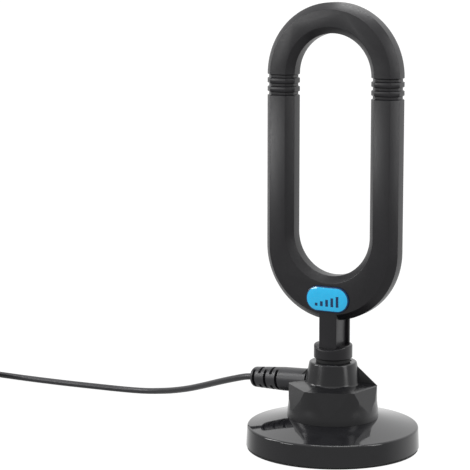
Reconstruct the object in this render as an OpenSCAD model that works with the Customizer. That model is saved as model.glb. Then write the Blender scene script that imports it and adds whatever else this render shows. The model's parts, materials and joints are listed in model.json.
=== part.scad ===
// Loop television antenna on a magnetic foot, for caravans and campers.
// Origin at the centre of the foot's underside, +Z up, the loop's face looks along -Y.

/* [Foot] */
// Diameter of the foot at its underside
foot_d = 76; // [68:0.5:84]
// Height of the foot's rim above the floor
rim_z = 10.2; // [9.8:0.1:12]
// Rise of the shallow dome from the rim to the housing
dome_rise = 3.7; // [3:0.1:5]
// How far the foot's side leans in from floor to rim
foot_draft = 0.4; // [0:0.1:0.8]
// Radius of the rim's rounded edge
rim_r = 1; // [0.6:0.1:1.4]
// Wall of the foot cover
foot_wall = 2; // [1.6:0.1:2.2]
// Thickness of the soft pad under the foot
pad_t = 0.8; // [0.5:0.1:1.2]
// How far the pad stays inside the foot's edge
pad_inset = 0.4; // [0.2:0.1:1]

/* [Magnet] */
// Gap between the ring magnet and the heads of the yoke's screws
magnet_gap = 0.8; // [0.5:0.1:3]
// Hole in the ring magnet
magnet_hole_d = 24; // [16:1:28]
// Thickness of the ring magnet
magnet_t = 5; // [4:0.1:5.4]
// Thickness of the steel yoke plate on the magnet
yoke_t = 1.5; // [1:0.1:1.8]
// Distance of the yoke's screws from the yoke plate's edge
yoke_screw_inset = 2.5; // [2.3:0.1:2.7]

/* [Housing] */
// Radius of the housing's foot flange
flange_r = 20; // [19.6:0.1:20.6]
// Radius of the round body under the flats
body_r = 19.4; // [19:0.1:19.6]
// Distance from the axis to each of the six flats, at the top
flat_r = 17.4; // [17.2:0.1:17.8]
// Height of the flats' top edge above the housing's underside
flat_h = 14.1; // [13.8:0.1:14.8]
// Lean of the flats, wider downwards
flat_lean = 13.5; // [12:0.5:14.5]
// Slope of the roof over the front flats
front_slope = 13; // [11:1:16]
// Slope of the hipped crown over the rear flats
crown_slope = 48; // [46:1:50]
// Radius of the cone at its top edge
cone_top_r = 10.5; // [10.2:0.1:10.8]
// Radius of the cone at its foot
cone_foot_r = 11.9; // [11.7:0.1:12.3]
// Height of the cone's top above the flats' top edge
cone_h = 10.6; // [10.4:0.1:12]
// Radius of the main cavity
cavity_r = 14.9; // [14.6:0.1:15.2]
// Turn of the six flats and the lead's exit from the loop's own axes
hex_turn = -10; // [-15:1:-5]

/* [Swivel] */
// Radius of the bore that the collar's stem turns in
stem_bore_r = 5.5; // [5.3:0.05:5.7]
// Radial running clearance of the stem in its bore
running_gap = 0.05; // [0.03:0.01:0.08]
// Radius of the collar
collar_r = 8.43; // [8.35:0.01:8.8]
// Height of the collar
collar_h = 6.1; // [5.9:0.1:6.6]
// Gap between the cone's top and the collar, filled by the friction ring
collar_gap = 1.6; // [1.3:0.1:2]
// Radius of the friction ring
ring_r = 7.5; // [7:0.1:8]
// Turn of the swivel to each side before its tab meets the stop
swivel_turn = 165; // [150:1:168]

/* [Loop] */
// Width of the loop
loop_w = 62.5; // [60:0.5:66]
// Width of the opening
opening_w = 36.2; // [34:0.2:38]
// Length of the straight part of the loop's outside
straight_h = 74.9; // [70:0.1:90]
// How much thicker the loop's bottom is than its limbs
bottom_extra = 6.3; // [5:0.1:8]
// Depth of the loop from front to back
loop_t = 11.8; // [11.4:0.1:12.4]
// Width of the bevels on the loop's edges
bevel_w = 2.9; // [2.4:0.1:3.1]
// Depth of the bevels on the loop's edges
bevel_t = 3.3; // [3:0.1:3.4]
// Wall of the loop's shells
shell_wall = 2; // [1.7:0.1:2.2]
// Number of grooves round each limb
groove_count = 3; // [1:1:5]
// Distance between the grooves
groove_pitch = 3.7; // [3:0.1:5]
// Width of each groove
groove_w = 1.5; // [1:0.1:2]
// Depth of each groove
groove_depth = 0.65; // [0.3:0.05:0.9]

/* [Neck] */
// Width of the neck's front
neck_w = 8.3; // [8:0.1:9]
// Height of the neck between collar and loop
neck_h = 10.95; // [9:0.05:16]
// Width of the lid on the neck's back
neck_lid_w = 10.8; // [10.2:0.1:11.2]
// Thickness of the lid on the neck's back
neck_lid_t = 1.5; // [1.2:0.1:1.8]

/* [Badge] */
// Width of the badge
badge_w = 20.4; // [18:0.1:22]
// Height of the badge
badge_h = 11.2; // [10:0.1:11.6]
// How far the badge stands out of the loop's face at its middle
badge_dome = 1.1; // [0.8:0.1:1.5]

/* [Lead] */
// Diameter of the coaxial lead
lead_d = 3; // [2.8:0.1:3.2]
// Diameter of the strain relief at the housing
relief_d = 10.6; // [10:0.1:10.8]
// Diameter of the strain relief at its outer end
relief_end_d = 9.2; // [8:0.1:9.8]
// Length of the strain relief outside its seat
relief_l = 26; // [24:0.5:28]
// Slope of the strain relief down towards its outer end
relief_dip = 4.9; // [3:0.1:6]
// Diameter of the plug's outer contact
plug_d = 9.5; // [9.4:0.05:9.6]
// Diameter of the plug's centre pin
plug_pin_d = 2.4; // [2.3:0.05:2.5]

/* [Hidden] */
$fn = 96;

// Small clearance between pieces that are pushed together, and overlap of cutting shapes
fit = 0.05;
cut = 0.5;

// Foot
foot_r = foot_d / 2;
rim_edge_r = foot_r - foot_draft;
dome_z = rim_z + dome_rise;
dome_foot_r = rim_edge_r - rim_r;
under_dome_z = dome_z - foot_wall;
yoke_z = pad_t + magnet_t;
yoke_r = rim_edge_r - foot_wall - 0.6;
yoke_hole_r = magnet_hole_d / 2 + 1;
yoke_screw_r = yoke_r - yoke_screw_inset;
screw_count = 3;
yoke_boss_r = 2.4;
yoke_screw_shank_r = 1.2;
yoke_screw_head_r = 2.2;
yoke_screw_l = 4;
magnet_r = yoke_screw_r - yoke_screw_head_r - magnet_gap;

// Housing
housing_z = dome_z;
flat_z = housing_z + flat_h;
cone_z = flat_z + cone_h;
flange_h = 4.4;
flange_slope_h = 1.4;
roof_t = 2;
cavity_z = flat_z - roof_t;
bell_r = cone_top_r - 2.1;
sleeve_l = 4.5;
sleeve_z = cone_z - sleeve_l;
facets = 6;
facet_step = 360 / facets;
cone_rim = 0.9;
foot_fillet = 1.6;
flare_drop = 0.55;
crown_drop = 0.5;
crown_end_turn = 14;
ring_recess = 0.4;
edge_bevel = 0.45;
edge_bevel_slope = 33;
housing_screw_r = cavity_r - 2.3;
housing_boss_r = 3;
housing_boss_h = 5.6;
housing_screw_l = 6.5;
housing_screw_shank_r = 1.3;
screw_head_h = 1.4;
screw_head_r = 2.3;

// Board and what stands on it
board_t = 1.6;
board_r = cavity_r - 1;
board_z = cavity_z - 5.6;
board_top = board_z + board_t;
board_screw_r = 9.8;
board_boss_r = 2.2;
board_screw_shank_r = 1;
board_screw_head_r = 1.9;
board_screw_l = 5;
can_size = [9, 8, 3.2];
can_pos = [1, -1];
can_wall = 0.3;
chip_size = [3.2, 2.8, 1.1];
choke_pos = [-5.6, 3.5];
choke_r = 1.8;
choke_h = 3.8;
capacitor_pos = [8.7, -1.2];
capacitor_r = 1.7;
capacitor_h = 4.4;
socket_r = 2;
socket_h = 2;

// Swivel
collar_z = cone_z + collar_gap;
collar_top = collar_z + collar_h;
stem_r = stem_bore_r - running_gap;
stem_hole_r = 2.6;
plate_t = 1;
clip_t = 0.9;
clip_groove = 0.8;
axial_gap = 0.1;
plate_z = sleeve_z - axial_gap - plate_t;
clip_z = plate_z - clip_t;
stem_end_z = clip_z - 0.8;
plate_r = bell_r - 1.2;
stem_flat = 0.6;
tab_r = bell_r - 0.4;
stop_mid = 90;
stop_rib_w = 2;
stop_half = 180 - swivel_turn;
stop_play = 0.4;
rib_in_r = plate_r + 0.3;

// Neck and its spigot in the collar
loop_front_y = -loop_t / 2;
loop_back_y = loop_t / 2;
neck_lid_y = loop_back_y - neck_lid_t;
spigot = [6.8, 8.6];
spigot_l = collar_h - 1.3;
lead_hole_r = 1.3;
neck_screw_z = collar_top - 2.6;
neck_screw_shank_r = 1.1;
neck_screw_head_r = 1.9;
neck_screw_l = 5.2;
neck_screw_recess = 1.5;

// Loop
half_w = loop_w / 2;
half_open = opening_w / 2;
limb_w = half_w - half_open;
limb_mid = (half_w + half_open) / 2;
loop_low = collar_top + neck_h;
low_outer_z = loop_low + half_w;
low_inner_z = low_outer_z + bottom_extra;
high_z = low_outer_z + straight_h;
bevel_l = sqrt(bevel_w * bevel_w + bevel_t * bevel_t);
parting_y = loop_back_y - bevel_t;
groove_top_z = high_z - 0.2;
neck_fillet = 1.5;
loop_boss_r = 0.16 * limb_w;
loop_boss_foot_r = loop_boss_r + 0.9;
loop_screw_shank_r = 1;
loop_screw_head_r = 1.9;
loop_screw_head_h = 1.3;
loop_screw_l = 6;
element_board_t = 1.2;
element_board_y = 0.4;
element_margin = 0.038 * limb_w;
element_out_r = half_w - shell_wall - element_margin;
element_in_r = half_open + shell_wall + element_margin;
track_t = 0.3;
track_inset = 0.045 * limb_w;
feed_gap = 3;
balun_size = [6, 5];
balun_t = 1.7;
lower_screw_turn = 45;
lower_mid = (half_w + half_open + bottom_extra * cos(lower_screw_turn)) / 2;

// Screw places in the loop, as x and z
loop_screw_places = [
    [0, high_z + limb_mid],
    for (side = [-1, 1]) [side * limb_mid, high_z - 0.3 * straight_h],
    for (side = [-1, 1]) [side * limb_mid, low_inner_z + 0.12 * straight_h],
    for (side = [-1, 1]) [side * lower_mid * sin(lower_screw_turn),
        low_outer_z - lower_mid * cos(lower_screw_turn) + bottom_extra / 2]
];

// Badge
badge_z = (loop_low + low_inner_z - half_open) / 2;
badge_recess = 0.6;
badge_gap = 0.15;
badge_steps = 8;

// Strain relief, in a frame whose x runs out along it from its seat
relief_seat = 17.3;
relief_turn = hex_turn + 180;
relief_z = flat_z - 0.6;
relief_root = 5.5;
relief_slots = 5;
relief_slot_w = 1.4;
relief_slot_pitch = 3.25;
relief_slot_x = 9.9;
relief_spine = 2.5;
lead_r = lead_d / 2;
ferrule_l = 1.8;
ferrule_wall = 0.7;
bend_r = 3.4;
bend_x = relief_root + ferrule_l + 0.3;
bend_steps = 10;

// Free lead: hand-picked points from the strain relief down to the floor and out to the coil
relief_end = relief_point(relief_l, 0);
cable_points = [
    relief_end,
    [-48, 8.7, 24.3],
    [-56, 11.8, 21.8],
    [-66, 16.4, 18.3],
    [-77, 22, 14.2],
    [-89, 28, 10],
    [-101, 33.6, 6.5],
    [-112, 38, 4],
    [-122, 40.6, 2.4],
    [-134, 41.6, 1.6],
    [-150, 40.6, 1.5],
    [-168, 39.4, 1.5],
    [-188, 38.6, 1.6],
    [-210, 38.1, 1.9],
    [-228, 38, 2.1]
];
cable_steps = 2;

// Coil: turns side by side and on each other, wound round this centre
coil_x = -228;
coil_y = 14;
coil_columns = 5;
coil_layers = 4;
coil_mid_r = 18;
coil_corner = 1.4;
coil_band = coil_columns * lead_d;
coil_height = coil_layers * lead_d;
tie_t = 0.6;
tie_w = 5;
tie_turn = 40;
coil_lift = tie_t;

// Tail: from the top outer turn down to the floor and forward to the plug
tail_from_r = coil_mid_r + coil_band / 2 - lead_r;
tail_l = 34;
tail_drift = 3;
tail_level = 0.25;
tail_start_z = coil_lift + coil_height - lead_r;
grip_r = 5.6;
tail_end_z = grip_r;
tail_rings = 12;
plug_x = coil_x - tail_from_r - tail_drift;
plug_y = coil_y - tail_l;

// Plug, along -Y from where the lead enters it
grip_neck_r = 2.6;
grip_neck_l = 9;
grip_l = 22;
shell_l = 9;
shell_wall_t = 0.6;
shell_seat = 3;
insulator_l = 4;
pin_l = 10;
pin_seat = 4;
pin_root_r = plug_pin_d / 2 - 0.3;
shell_root_r = plug_d / 2 - 0.5;
shell_z = grip_neck_l + grip_l;

cover_color = "#141416";
housing_color = "#232326";
loop_color = "#2c2b2f";
badge_color = "#29b4e0";
steel_color = "silver";
lead_color = "#1c1c1f";

// Place of a point of the strain relief's own frame: x out along it, up across it
function relief_point(x, up) = let(
        s = relief_seat + x * cos(relief_dip) + up * sin(relief_dip),
        z = relief_z - x * sin(relief_dip) + up * cos(relief_dip)
    ) [s * cos(relief_turn), s * sin(relief_turn), z];

// Height of the foot's dome at a radius
function dome_at(r) = dome_z - dome_rise * (r - flange_r) / (dome_foot_r - flange_r);

// Half section of the loop's outer body, or of its opening, moved inwards into the material by d
function bevel_w_at(d) = bevel_w - d * (1 - (bevel_l - bevel_w) / bevel_t);
function bevel_t_at(d) = bevel_t - d * (1 - (bevel_l - bevel_t) / bevel_w);
function outer_half(d) = let(w = half_w - d, t = loop_t / 2 - d, bw = bevel_w_at(d), bt = bevel_t_at(d))
    [[0, -t], [w - bw, -t], [w, -t + bt], [w, t - bt], [w - bw, t], [0, t]];
function open_half(d) = let(w = half_open + d, t = loop_t / 2 - d, bw = bevel_w_at(d), bt = bevel_t_at(d),
        far = loop_t) [[0, -far], [w + bw, -far], [w + bw, -t], [w, -t + bt], [w, t - bt], [w + bw, t],
        [w + bw, far], [0, far]];
function mirrored(half) = concat(half, [for (i = [len(half) - 2 : -1 : 1]) [-half[i][0], half[i][1]]]);

// Smooth path through points, with some rings between each two
function spline_at(a, b, c, d, t) = 0.5 * (2 * b + (c - a) * t + (2 * a - 5 * b + 4 * c - d) * t * t
    + (3 * b - a - 3 * c + d) * t * t * t);
function smooth_path(p, steps) = concat([for (i = [0 : len(p) - 2]) for (k = [0 : steps - 1])
    spline_at(p[max(i - 1, 0)], p[i], p[i + 1], p[min(i + 2, len(p) - 1)], k / steps)], [p[len(p) - 1]]);
function unit(v) = v / norm(v);
function heading(p, i) = unit(p[min(i + 1, len(p) - 1)] - p[max(i - 1, 0)]);
function ring_at(p, i, r, sides, ref) = let(h = heading(p, i), a = unit(cross(ref, h)), b = cross(h, a))
    [for (k = [0 : sides - 1]) p[i] + r * (cos(360 * k / sides) * a + sin(360 * k / sides) * b)];

// Round tube swept along a path that never runs along ref
module tube_along(p, r, sides = 8, ref = [0, 0, 1]) {
    rings = [for (i = [0 : len(p) - 1]) each ring_at(p, i, r, sides, ref)];
    last = (len(p) - 1) * sides;
    walls = [for (i = [0 : len(p) - 2]) for (k = [0 : sides - 1]) let(n = (k + 1) % sides)
        [i * sides + k, (i + 1) * sides + k, (i + 1) * sides + n, i * sides + n]];
    caps = [[for (k = [0 : sides - 1]) k], [for (k = [sides - 1 : -1 : 0]) last + k]];
    polyhedron(points = rings, faces = concat(walls, caps));
}

module around(count, r, turn = 0) {
    for (i = [0 : count - 1])
        rotate([0, 0, turn + 360 * i / count])
            translate([r, 0, 0])
                children();
}

// Places of the screws that come up through the foot, and of those that hold the board
module at_housing_screws(z) {
    translate([0, 0, z])
        around(screw_count, housing_screw_r, hex_turn + facet_step / 2)
            children();
}

module at_board_screws(z) {
    translate([0, 0, z])
        around(screw_count, board_screw_r, hex_turn + facet_step * 1.5)
            children();
}

module at_yoke_screws(z) {
    translate([0, 0, z])
        around(screw_count, yoke_screw_r, hex_turn)
            children();
}

module tube(r_out, r_in, h) {
    difference() {
        cylinder(r = r_out, h = h);
        translate([0, 0, -cut])
            cylinder(r = r_in, h = h + 2 * cut);
    }
}

// Screw with its head's top at z = 0, shank going up
module screw(shank_r, head_r, head_h, l) {
    difference() {
        translate([0, 0, -head_h])
            cylinder(r = head_r, h = head_h);
        for (turn = [0, 90])
            rotate([0, 0, turn])
                translate([-head_r * 0.6, -0.3, -head_h - cut])
                    cube([head_r * 1.2, 0.6, cut + head_h * 0.6]);
    }
    cylinder(r = shank_r, h = l);
}

module foot_pad() {
    color("#4a4440")
        cylinder(r = foot_r - pad_inset, h = pad_t);
}

module magnet() {
    color("#3a3a3c")
        translate([0, 0, pad_t])
            tube(magnet_r, magnet_hole_d / 2, magnet_t);
}

module yoke_plate() {
    color(steel_color)
        difference() {
            translate([0, 0, yoke_z])
                tube(yoke_r, yoke_hole_r, yoke_t);
            at_yoke_screws(yoke_z - cut)
                cylinder(r = yoke_screw_shank_r + 0.2, h = yoke_t + 2 * cut);
        }
}

module yoke_screws() {
    color(steel_color)
        at_yoke_screws(yoke_z)
            screw(yoke_screw_shank_r, yoke_screw_head_r, screw_head_h, yoke_screw_l);
}

// Half section of the foot cover: draughted side, round rim, straight-sloped dome, flat seat
module foot_cover_section() {
    rim_arc = [for (a = [0 : 15 : 75]) [dome_foot_r + rim_r * cos(a), rim_z - rim_r + rim_r * sin(a)]];
    inner_r = rim_edge_r - foot_wall;
    polygon(concat(
        [[0, dome_z], [0, under_dome_z], [flange_r - 1, under_dome_z],
            [dome_foot_r - foot_wall, rim_z - foot_wall], [inner_r, rim_z - foot_wall - 1],
            [inner_r, pad_t], [foot_r, pad_t]],
        rim_arc,
        [[dome_foot_r, rim_z], [flange_r + 0.6, dome_at(flange_r + 0.6)], [flange_r - 0.2, dome_z]]));
}

module foot_cover() {
    boss_top = dome_at(yoke_screw_r) - foot_wall / 2;
    color(cover_color)
        difference() {
            union() {
                rotate_extrude()
                    foot_cover_section();
                intersection() {
                    at_yoke_screws(yoke_z + yoke_t)
                        cylinder(r = yoke_boss_r, h = boss_top - yoke_z - yoke_t);
                    cylinder(r = rim_edge_r - foot_wall / 2, h = dome_z);
                }
            }
            at_yoke_screws(yoke_z)
                cylinder(r = yoke_screw_shank_r + fit, h = yoke_screw_l + 0.2);
            at_housing_screws(under_dome_z - cut)
                cylinder(r = housing_screw_shank_r + 0.2, h = foot_wall + 2 * cut);
        }
}

module housing_screws() {
    color(steel_color)
        at_housing_screws(under_dome_z)
            screw(housing_screw_shank_r, screw_head_r, screw_head_h, housing_screw_l);
}

// Round body of the housing before the flats and the roof are cut
module housing_round() {
    flange_z = housing_z + flange_h;
    rotate_extrude()
        polygon([[0, housing_z], [flange_r, housing_z], [flange_r, flange_z],
            [body_r, flange_z + flange_slope_h], [body_r, cone_z], [0, cone_z]]);
}

// Half space above a roof facet, or outside a flat, whose edge is at radius r and height z
module beyond(turn, r, z, slope) {
    big = 4 * body_r;
    rotate([0, 0, turn])
        translate([r, 0, z])
            rotate([0, slope, 0])
                translate([-big / 2, -big / 2, 0])
                    cube([big, big, big]);
}

// Bell-shaped cone with a flared foot, standing in the roof
module cone_body() {
    foot_z = flat_z + (flat_r - cone_foot_r) * tan(front_slope) - flare_drop;
    flare = [for (a = [0 : 18 : 54]) [cone_foot_r + foot_fillet * (1 - cos(a)), foot_z + foot_fillet * (1 - sin(a))]];
    rotate_extrude()
        polygon(concat([[0, cavity_z], [0, cone_z], [cone_top_r - cone_rim, cone_z],
            [cone_top_r, cone_z - cone_rim]], flare, [[cone_foot_r + 0.4 * foot_fillet, cavity_z]]));
}

// Body under a low hipped roof, the same on all six sides
module low_body() {
    difference() {
        housing_round();
        for (i = [0 : facets - 1]) {
            turn = hex_turn + i * facet_step;
            beyond(turn, flat_r, flat_z, 90 - flat_lean);
            beyond(turn, flat_r, flat_z, front_slope);
            beyond(turn, flat_r - edge_bevel, flat_z + edge_bevel * tan(front_slope),
                edge_bevel_slope + front_slope);
        }
    }
}

// Everything above the cavity behind an upright plane through the axis
module behind(turn, big) {
    rotate([0, 0, turn])
        translate([-big / 2, 0, cavity_z - 1])
            cube([big, big, cone_h]);
}

// Steep crown over the rear flats, ending in two upright faces that stand out from the cone
module crown() {
    big = 4 * body_r;
    right_turn = hex_turn + facet_step / 2;
    difference() {
        intersection() {
            housing_round();
            behind(right_turn, big);
            behind(right_turn - crown_end_turn, big);
        }
        for (i = [1 : facets / 2]) {
            turn = hex_turn + i * facet_step;
            beyond(turn, flat_r, flat_z, 90 - flat_lean);
            beyond(turn, flat_r, flat_z - crown_drop, crown_slope);
        }
    }
}

// Section of the hollow under the crown, which keeps its wall even
module crown_hollow_section() {
    out_r = cavity_r - 0.8;
    top_z = flat_z + 2.8;
    slope_in = (top_z - flat_z + 0.6) / tan(crown_slope);
    polygon([[bell_r - cut, cavity_z - cut], [out_r, cavity_z - cut], [out_r, flat_z - 0.6],
        [out_r - slope_in, top_z], [bell_r - cut, top_z]]);
}

// Hollow for the board with the one under the crown, less the bosses that stand in them
module board_hollow() {
    low = housing_z - cut;
    difference() {
        union() {
            translate([0, 0, low])
                cylinder(r = cavity_r, h = cavity_z - low);
            rotate([0, 0, hex_turn + facet_step * 0.75])
                rotate_extrude(angle = facet_step * 1.5)
                    crown_hollow_section();
        }
        at_housing_screws(low - cut)
            cylinder(r = housing_boss_r, h = housing_boss_h + 2 * cut);
        at_board_screws(board_top)
            cylinder(r = board_boss_r, h = cone_z);
    }
}

// Seat of the strain relief and the way for its lead into the hollow
module relief_way() {
    way_r = lead_r + ferrule_wall + 0.9;
    way_l = relief_seat - bell_r;
    in_relief_frame() {
        translate([-relief_root, 0, 0])
            rotate([0, 90, 0])
                cylinder(r = relief_d / 2 + fit, h = relief_l);
        translate([-way_l - 1, 0, 0])
            rotate([0, 90, 0])
                cylinder(r = way_r, h = way_l);
        translate([-way_l - 1, -way_r, -relief_d / 2])
            cube([way_l - relief_root + 1.5, 2 * way_r, relief_d / 2]);
    }
}

// Hollow of the cone with the bore for the stem and the seat for the friction ring
module cone_hollow() {
    difference() {
        cylinder(r = bell_r, h = sleeve_z);
        stop_rib();
    }
    cylinder(r = stem_bore_r, h = cone_z + cut);
    translate([0, 0, cone_z - ring_recess])
        cylinder(r = ring_r + 0.6, h = ring_recess + cut);
}

module housing() {
    color(housing_color)
        difference() {
            union() {
                low_body();
                crown();
                cone_body();
            }
            board_hollow();
            cone_hollow();
            relief_way();
            at_housing_screws(housing_z - cut)
                cylinder(r = housing_screw_shank_r + fit, h = housing_screw_l - foot_wall + cut + 0.3);
            at_board_screws(board_top - cut)
                cylinder(r = board_screw_shank_r + fit, h = board_screw_l - board_t + cut + 0.2);
        }
}

// Rib in the cone that the stop plate's tab runs against
module stop_rib() {
    rotate([0, 0, stop_mid])
        intersection() {
            translate([rib_in_r, -stop_rib_w / 2, plate_z - 0.5])
                cube([bell_r + 0.8 - rib_in_r, stop_rib_w, sleeve_z - plate_z + 0.6]);
            cylinder(r = bell_r + 0.5, h = cone_z);
        }
}

module board() {
    color("#1f5a34")
        translate([0, 0, board_z])
            difference() {
                cylinder(r = board_r, h = board_t);
                at_housing_screws(-cut)
                    cylinder(r = housing_boss_r + 0.5, h = board_t + 2 * cut);
                at_board_screws(-cut)
                    cylinder(r = board_screw_shank_r + 0.2, h = board_t + 2 * cut);
            }
}

module board_screws() {
    color(steel_color)
        at_board_screws(board_z)
            screw(board_screw_shank_r, board_screw_head_r, screw_head_h, board_screw_l);
}

module shield_can() {
    color("#c8c8c4")
        translate([can_pos[0], can_pos[1], board_z - can_size[2]])
            difference() {
                translate([-can_size[0] / 2, -can_size[1] / 2, 0])
                    cube(can_size);
                translate([can_wall - can_size[0] / 2, can_wall - can_size[1] / 2, can_wall])
                    cube([can_size[0] - 2 * can_wall, can_size[1] - 2 * can_wall, can_size[2]]);
            }
}

module amplifier_chip() {
    color("#101012")
        translate([can_pos[0] - chip_size[0] / 2, can_pos[1] - chip_size[1] / 2, board_z - chip_size[2]])
            cube(chip_size);
}

module bias_choke() {
    color("#7a4a20")
        translate([choke_pos[0], choke_pos[1], board_z - choke_h])
            cylinder(r = choke_r, h = choke_h);
}

module capacitor() {
    color("#30343c")
        translate([capacitor_pos[0], capacitor_pos[1], board_z - capacitor_h])
            cylinder(r = capacitor_r, h = capacitor_h);
}

module board_socket() {
    color("gold")
        translate([0, 0, board_top])
            cylinder(r = socket_r, h = socket_h);
}

module in_relief_frame() {
    rotate([0, 0, relief_turn])
        translate([relief_seat, 0, relief_z])
            rotate([0, relief_dip, 0])
                children();
}

// Moulded strain relief: slots on its two sides alternate with slots above and below
module strain_relief() {
    end_round = 1.2;
    big = relief_d;
    color(lead_color)
        in_relief_frame()
            difference() {
                rotate([0, 90, 0])
                    rotate_extrude()
                        polygon([[lead_r + fit, -relief_root], [relief_d / 2, -relief_root],
                            [relief_d / 2, relief_l * 0.35], [relief_end_d / 2, relief_l - end_round],
                            [relief_end_d / 2 - end_round * 0.3, relief_l - end_round * 0.3],
                            [relief_end_d / 2 - end_round, relief_l], [lead_r + fit, relief_l]]);
                for (i = [0 : relief_slots - 1], side = [0, 180])
                    translate([relief_slot_x + i * relief_slot_pitch, 0, 0])
                        rotate([(i % 2 == 0 ? 90 : 0) + side, 0, 0])
                            translate([0, -big, relief_spine])
                                cube([relief_slot_w, 2 * big, big]);
            }
}

module crimp_ferrule() {
    color(steel_color)
        in_relief_frame()
            translate([-relief_root - ferrule_l, 0, 0])
                rotate([0, 90, 0])
                    tube(lead_r + ferrule_wall, lead_r + fit, ferrule_l);
}

// Lead inside the relief, bent down to the board
function bend_point(a) = relief_point(-bend_x - bend_r * sin(a), bend_r * cos(a) - bend_r);

module inner_lead() {
    last = bend_point(90 + relief_dip);
    color(lead_color)
        tube_along(concat([relief_end], [for (i = [0 : bend_steps]) bend_point((90 + relief_dip) * i / bend_steps)],
            [[last[0], last[1], board_top]]), lead_r, 12, [-sin(relief_turn), cos(relief_turn), 0]);
}

module friction_ring() {
    color("#0c0c0d")
        translate([0, 0, cone_z - ring_recess])
            tube(ring_r, stem_bore_r + 0.2, collar_gap + ring_recess - running_gap);
}

// Stem of the collar, with two flats for the stop plate
module stem(r) {
    intersection() {
        translate([0, 0, stem_end_z])
            cylinder(r = r, h = collar_z - stem_end_z + cut);
        union() {
            translate([-r + stem_flat, -2 * r, 0])
                cube([2 * (r - stem_flat), 4 * r, plate_z + plate_t + axial_gap / 2]);
            translate([0, 0, plate_z + plate_t + axial_gap / 2 - fit])
                cylinder(r = 2 * r, h = collar_z);
        }
    }
}

// Plate keyed on the stem, whose tab meets the rib at the ends of the swivel's turn
module stop_plate() {
    tab_half = stop_half - asin(stop_rib_w / 2 / rib_in_r) - stop_play;
    color(steel_color)
        difference() {
            union() {
                translate([0, 0, plate_z])
                    cylinder(r = plate_r, h = plate_t);
                rotate([0, 0, stop_mid + 180 - tab_half])
                    translate([0, 0, plate_z])
                        rotate_extrude(angle = 2 * tab_half)
                            translate([plate_r - 1, 0])
                                square([tab_r - plate_r + 1, plate_t]);
            }
            intersection() {
                translate([0, 0, plate_z - cut])
                    cylinder(r = stem_bore_r, h = plate_t + 2 * cut);
                translate([-stem_r + stem_flat - fit, -2 * stem_r, plate_z - cut])
                    cube([2 * (stem_r - stem_flat + fit), 4 * stem_r, plate_t + 2 * cut]);
            }
        }
}

// Snap ring in the stem's groove
module retaining_clip() {
    groove_r = stem_r - clip_groove;
    color(steel_color)
        difference() {
            translate([0, 0, clip_z])
                tube(plate_r - 0.4, groove_r, clip_t);
            translate([-1.2, 0, clip_z - cut])
                cube([2.4, plate_r, clip_t + 2 * cut]);
        }
}

module collar() {
    edge = 0.7;
    color(loop_color)
        difference() {
            union() {
                rotate_extrude()
                    polygon([[0, collar_z], [collar_r - edge / 2, collar_z], [collar_r, collar_z + edge / 2],
                        [collar_r, collar_top - edge], [collar_r - 0.3 * edge, collar_top - 0.3 * edge],
                        [collar_r - edge, collar_top], [0, collar_top]]);
                stem(stem_r);
            }
            translate([0, 0, clip_z])
                tube(2 * stem_r, stem_r - clip_groove - fit, clip_t);
            translate([-spigot[0] / 2 - fit, -spigot[1] / 2 - fit, collar_top - spigot_l - fit])
                cube([spigot[0] + 2 * fit, spigot[1] + 2 * fit, spigot_l + cut]);
            cylinder(r = stem_hole_r, h = collar_top);
            at_neck_screw() {
                translate([0, 0, -neck_screw_recess])
                    cylinder(r = neck_screw_head_r + 0.15, h = neck_screw_recess + cut + 1);
                translate([0, 0, -neck_screw_l - neck_screw_recess])
                    cylinder(r = neck_screw_shank_r + fit, h = neck_screw_l + neck_screw_recess);
            }
        }
}

// Frame of the screw that holds the neck: z points out of the collar's back
module at_neck_screw() {
    translate([0, collar_r, neck_screw_z])
        rotate([-90, 0, 0])
            children();
}

module neck_screw() {
    color(steel_color)
        at_neck_screw()
            translate([0, 0, -neck_screw_recess])
                rotate([180, 0, 0])
                    screw(neck_screw_shank_r, neck_screw_head_r, neck_screw_recess - 0.2, neck_screw_l);
}

// Upright long shape with round ends, of a half section turned about Y at both ends
module long_body(half, low_z, top_z) {
    for (z = [low_z, top_z])
        translate([0, 0, z])
            rotate([-90, 0, 0])
                rotate_extrude()
                    polygon(half);
    translate([0, 0, low_z])
        linear_extrude(top_z - low_z)
            polygon(mirrored(half));
}

// The loop's whole section, moved inwards by d: solid outer body less the opening
module loop_solid(d) {
    difference() {
        long_body(outer_half(d), low_outer_z, high_z);
        long_body(open_half(d), low_inner_z, high_z);
    }
}

module groove_cut() {
    for (i = [0 : groove_count - 1])
        translate([0, 0, groove_top_z - i * groove_pitch - groove_w])
            difference() {
                translate([-loop_w, -loop_t, 0])
                    cube([2 * loop_w, 2 * loop_t, groove_w]);
                translate([0, 0, -cut])
                    for (side = [-1, 1])
                        translate([side * limb_mid, 0, 0])
                            linear_extrude(groove_w + 2 * cut)
                                limb_section(groove_depth);
            }
}

// Section of one straight limb about its own middle, moved inwards by d
module limb_section(d) {
    w = limb_w / 2 - d;
    t = loop_t / 2 - d;
    bw = bevel_w_at(d);
    bt = bevel_t_at(d);
    polygon([[-w + bw, -t], [w - bw, -t], [w, -t + bt], [w, t - bt], [w - bw, t], [-w + bw, t], [-w, t - bt],
        [-w, -t + bt]]);
}

module in_front_of(y) {
    translate([-2 * loop_w, y - 4 * loop_t, 0])
        cube([4 * loop_w, 4 * loop_t, 2 * high_z]);
}

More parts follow.
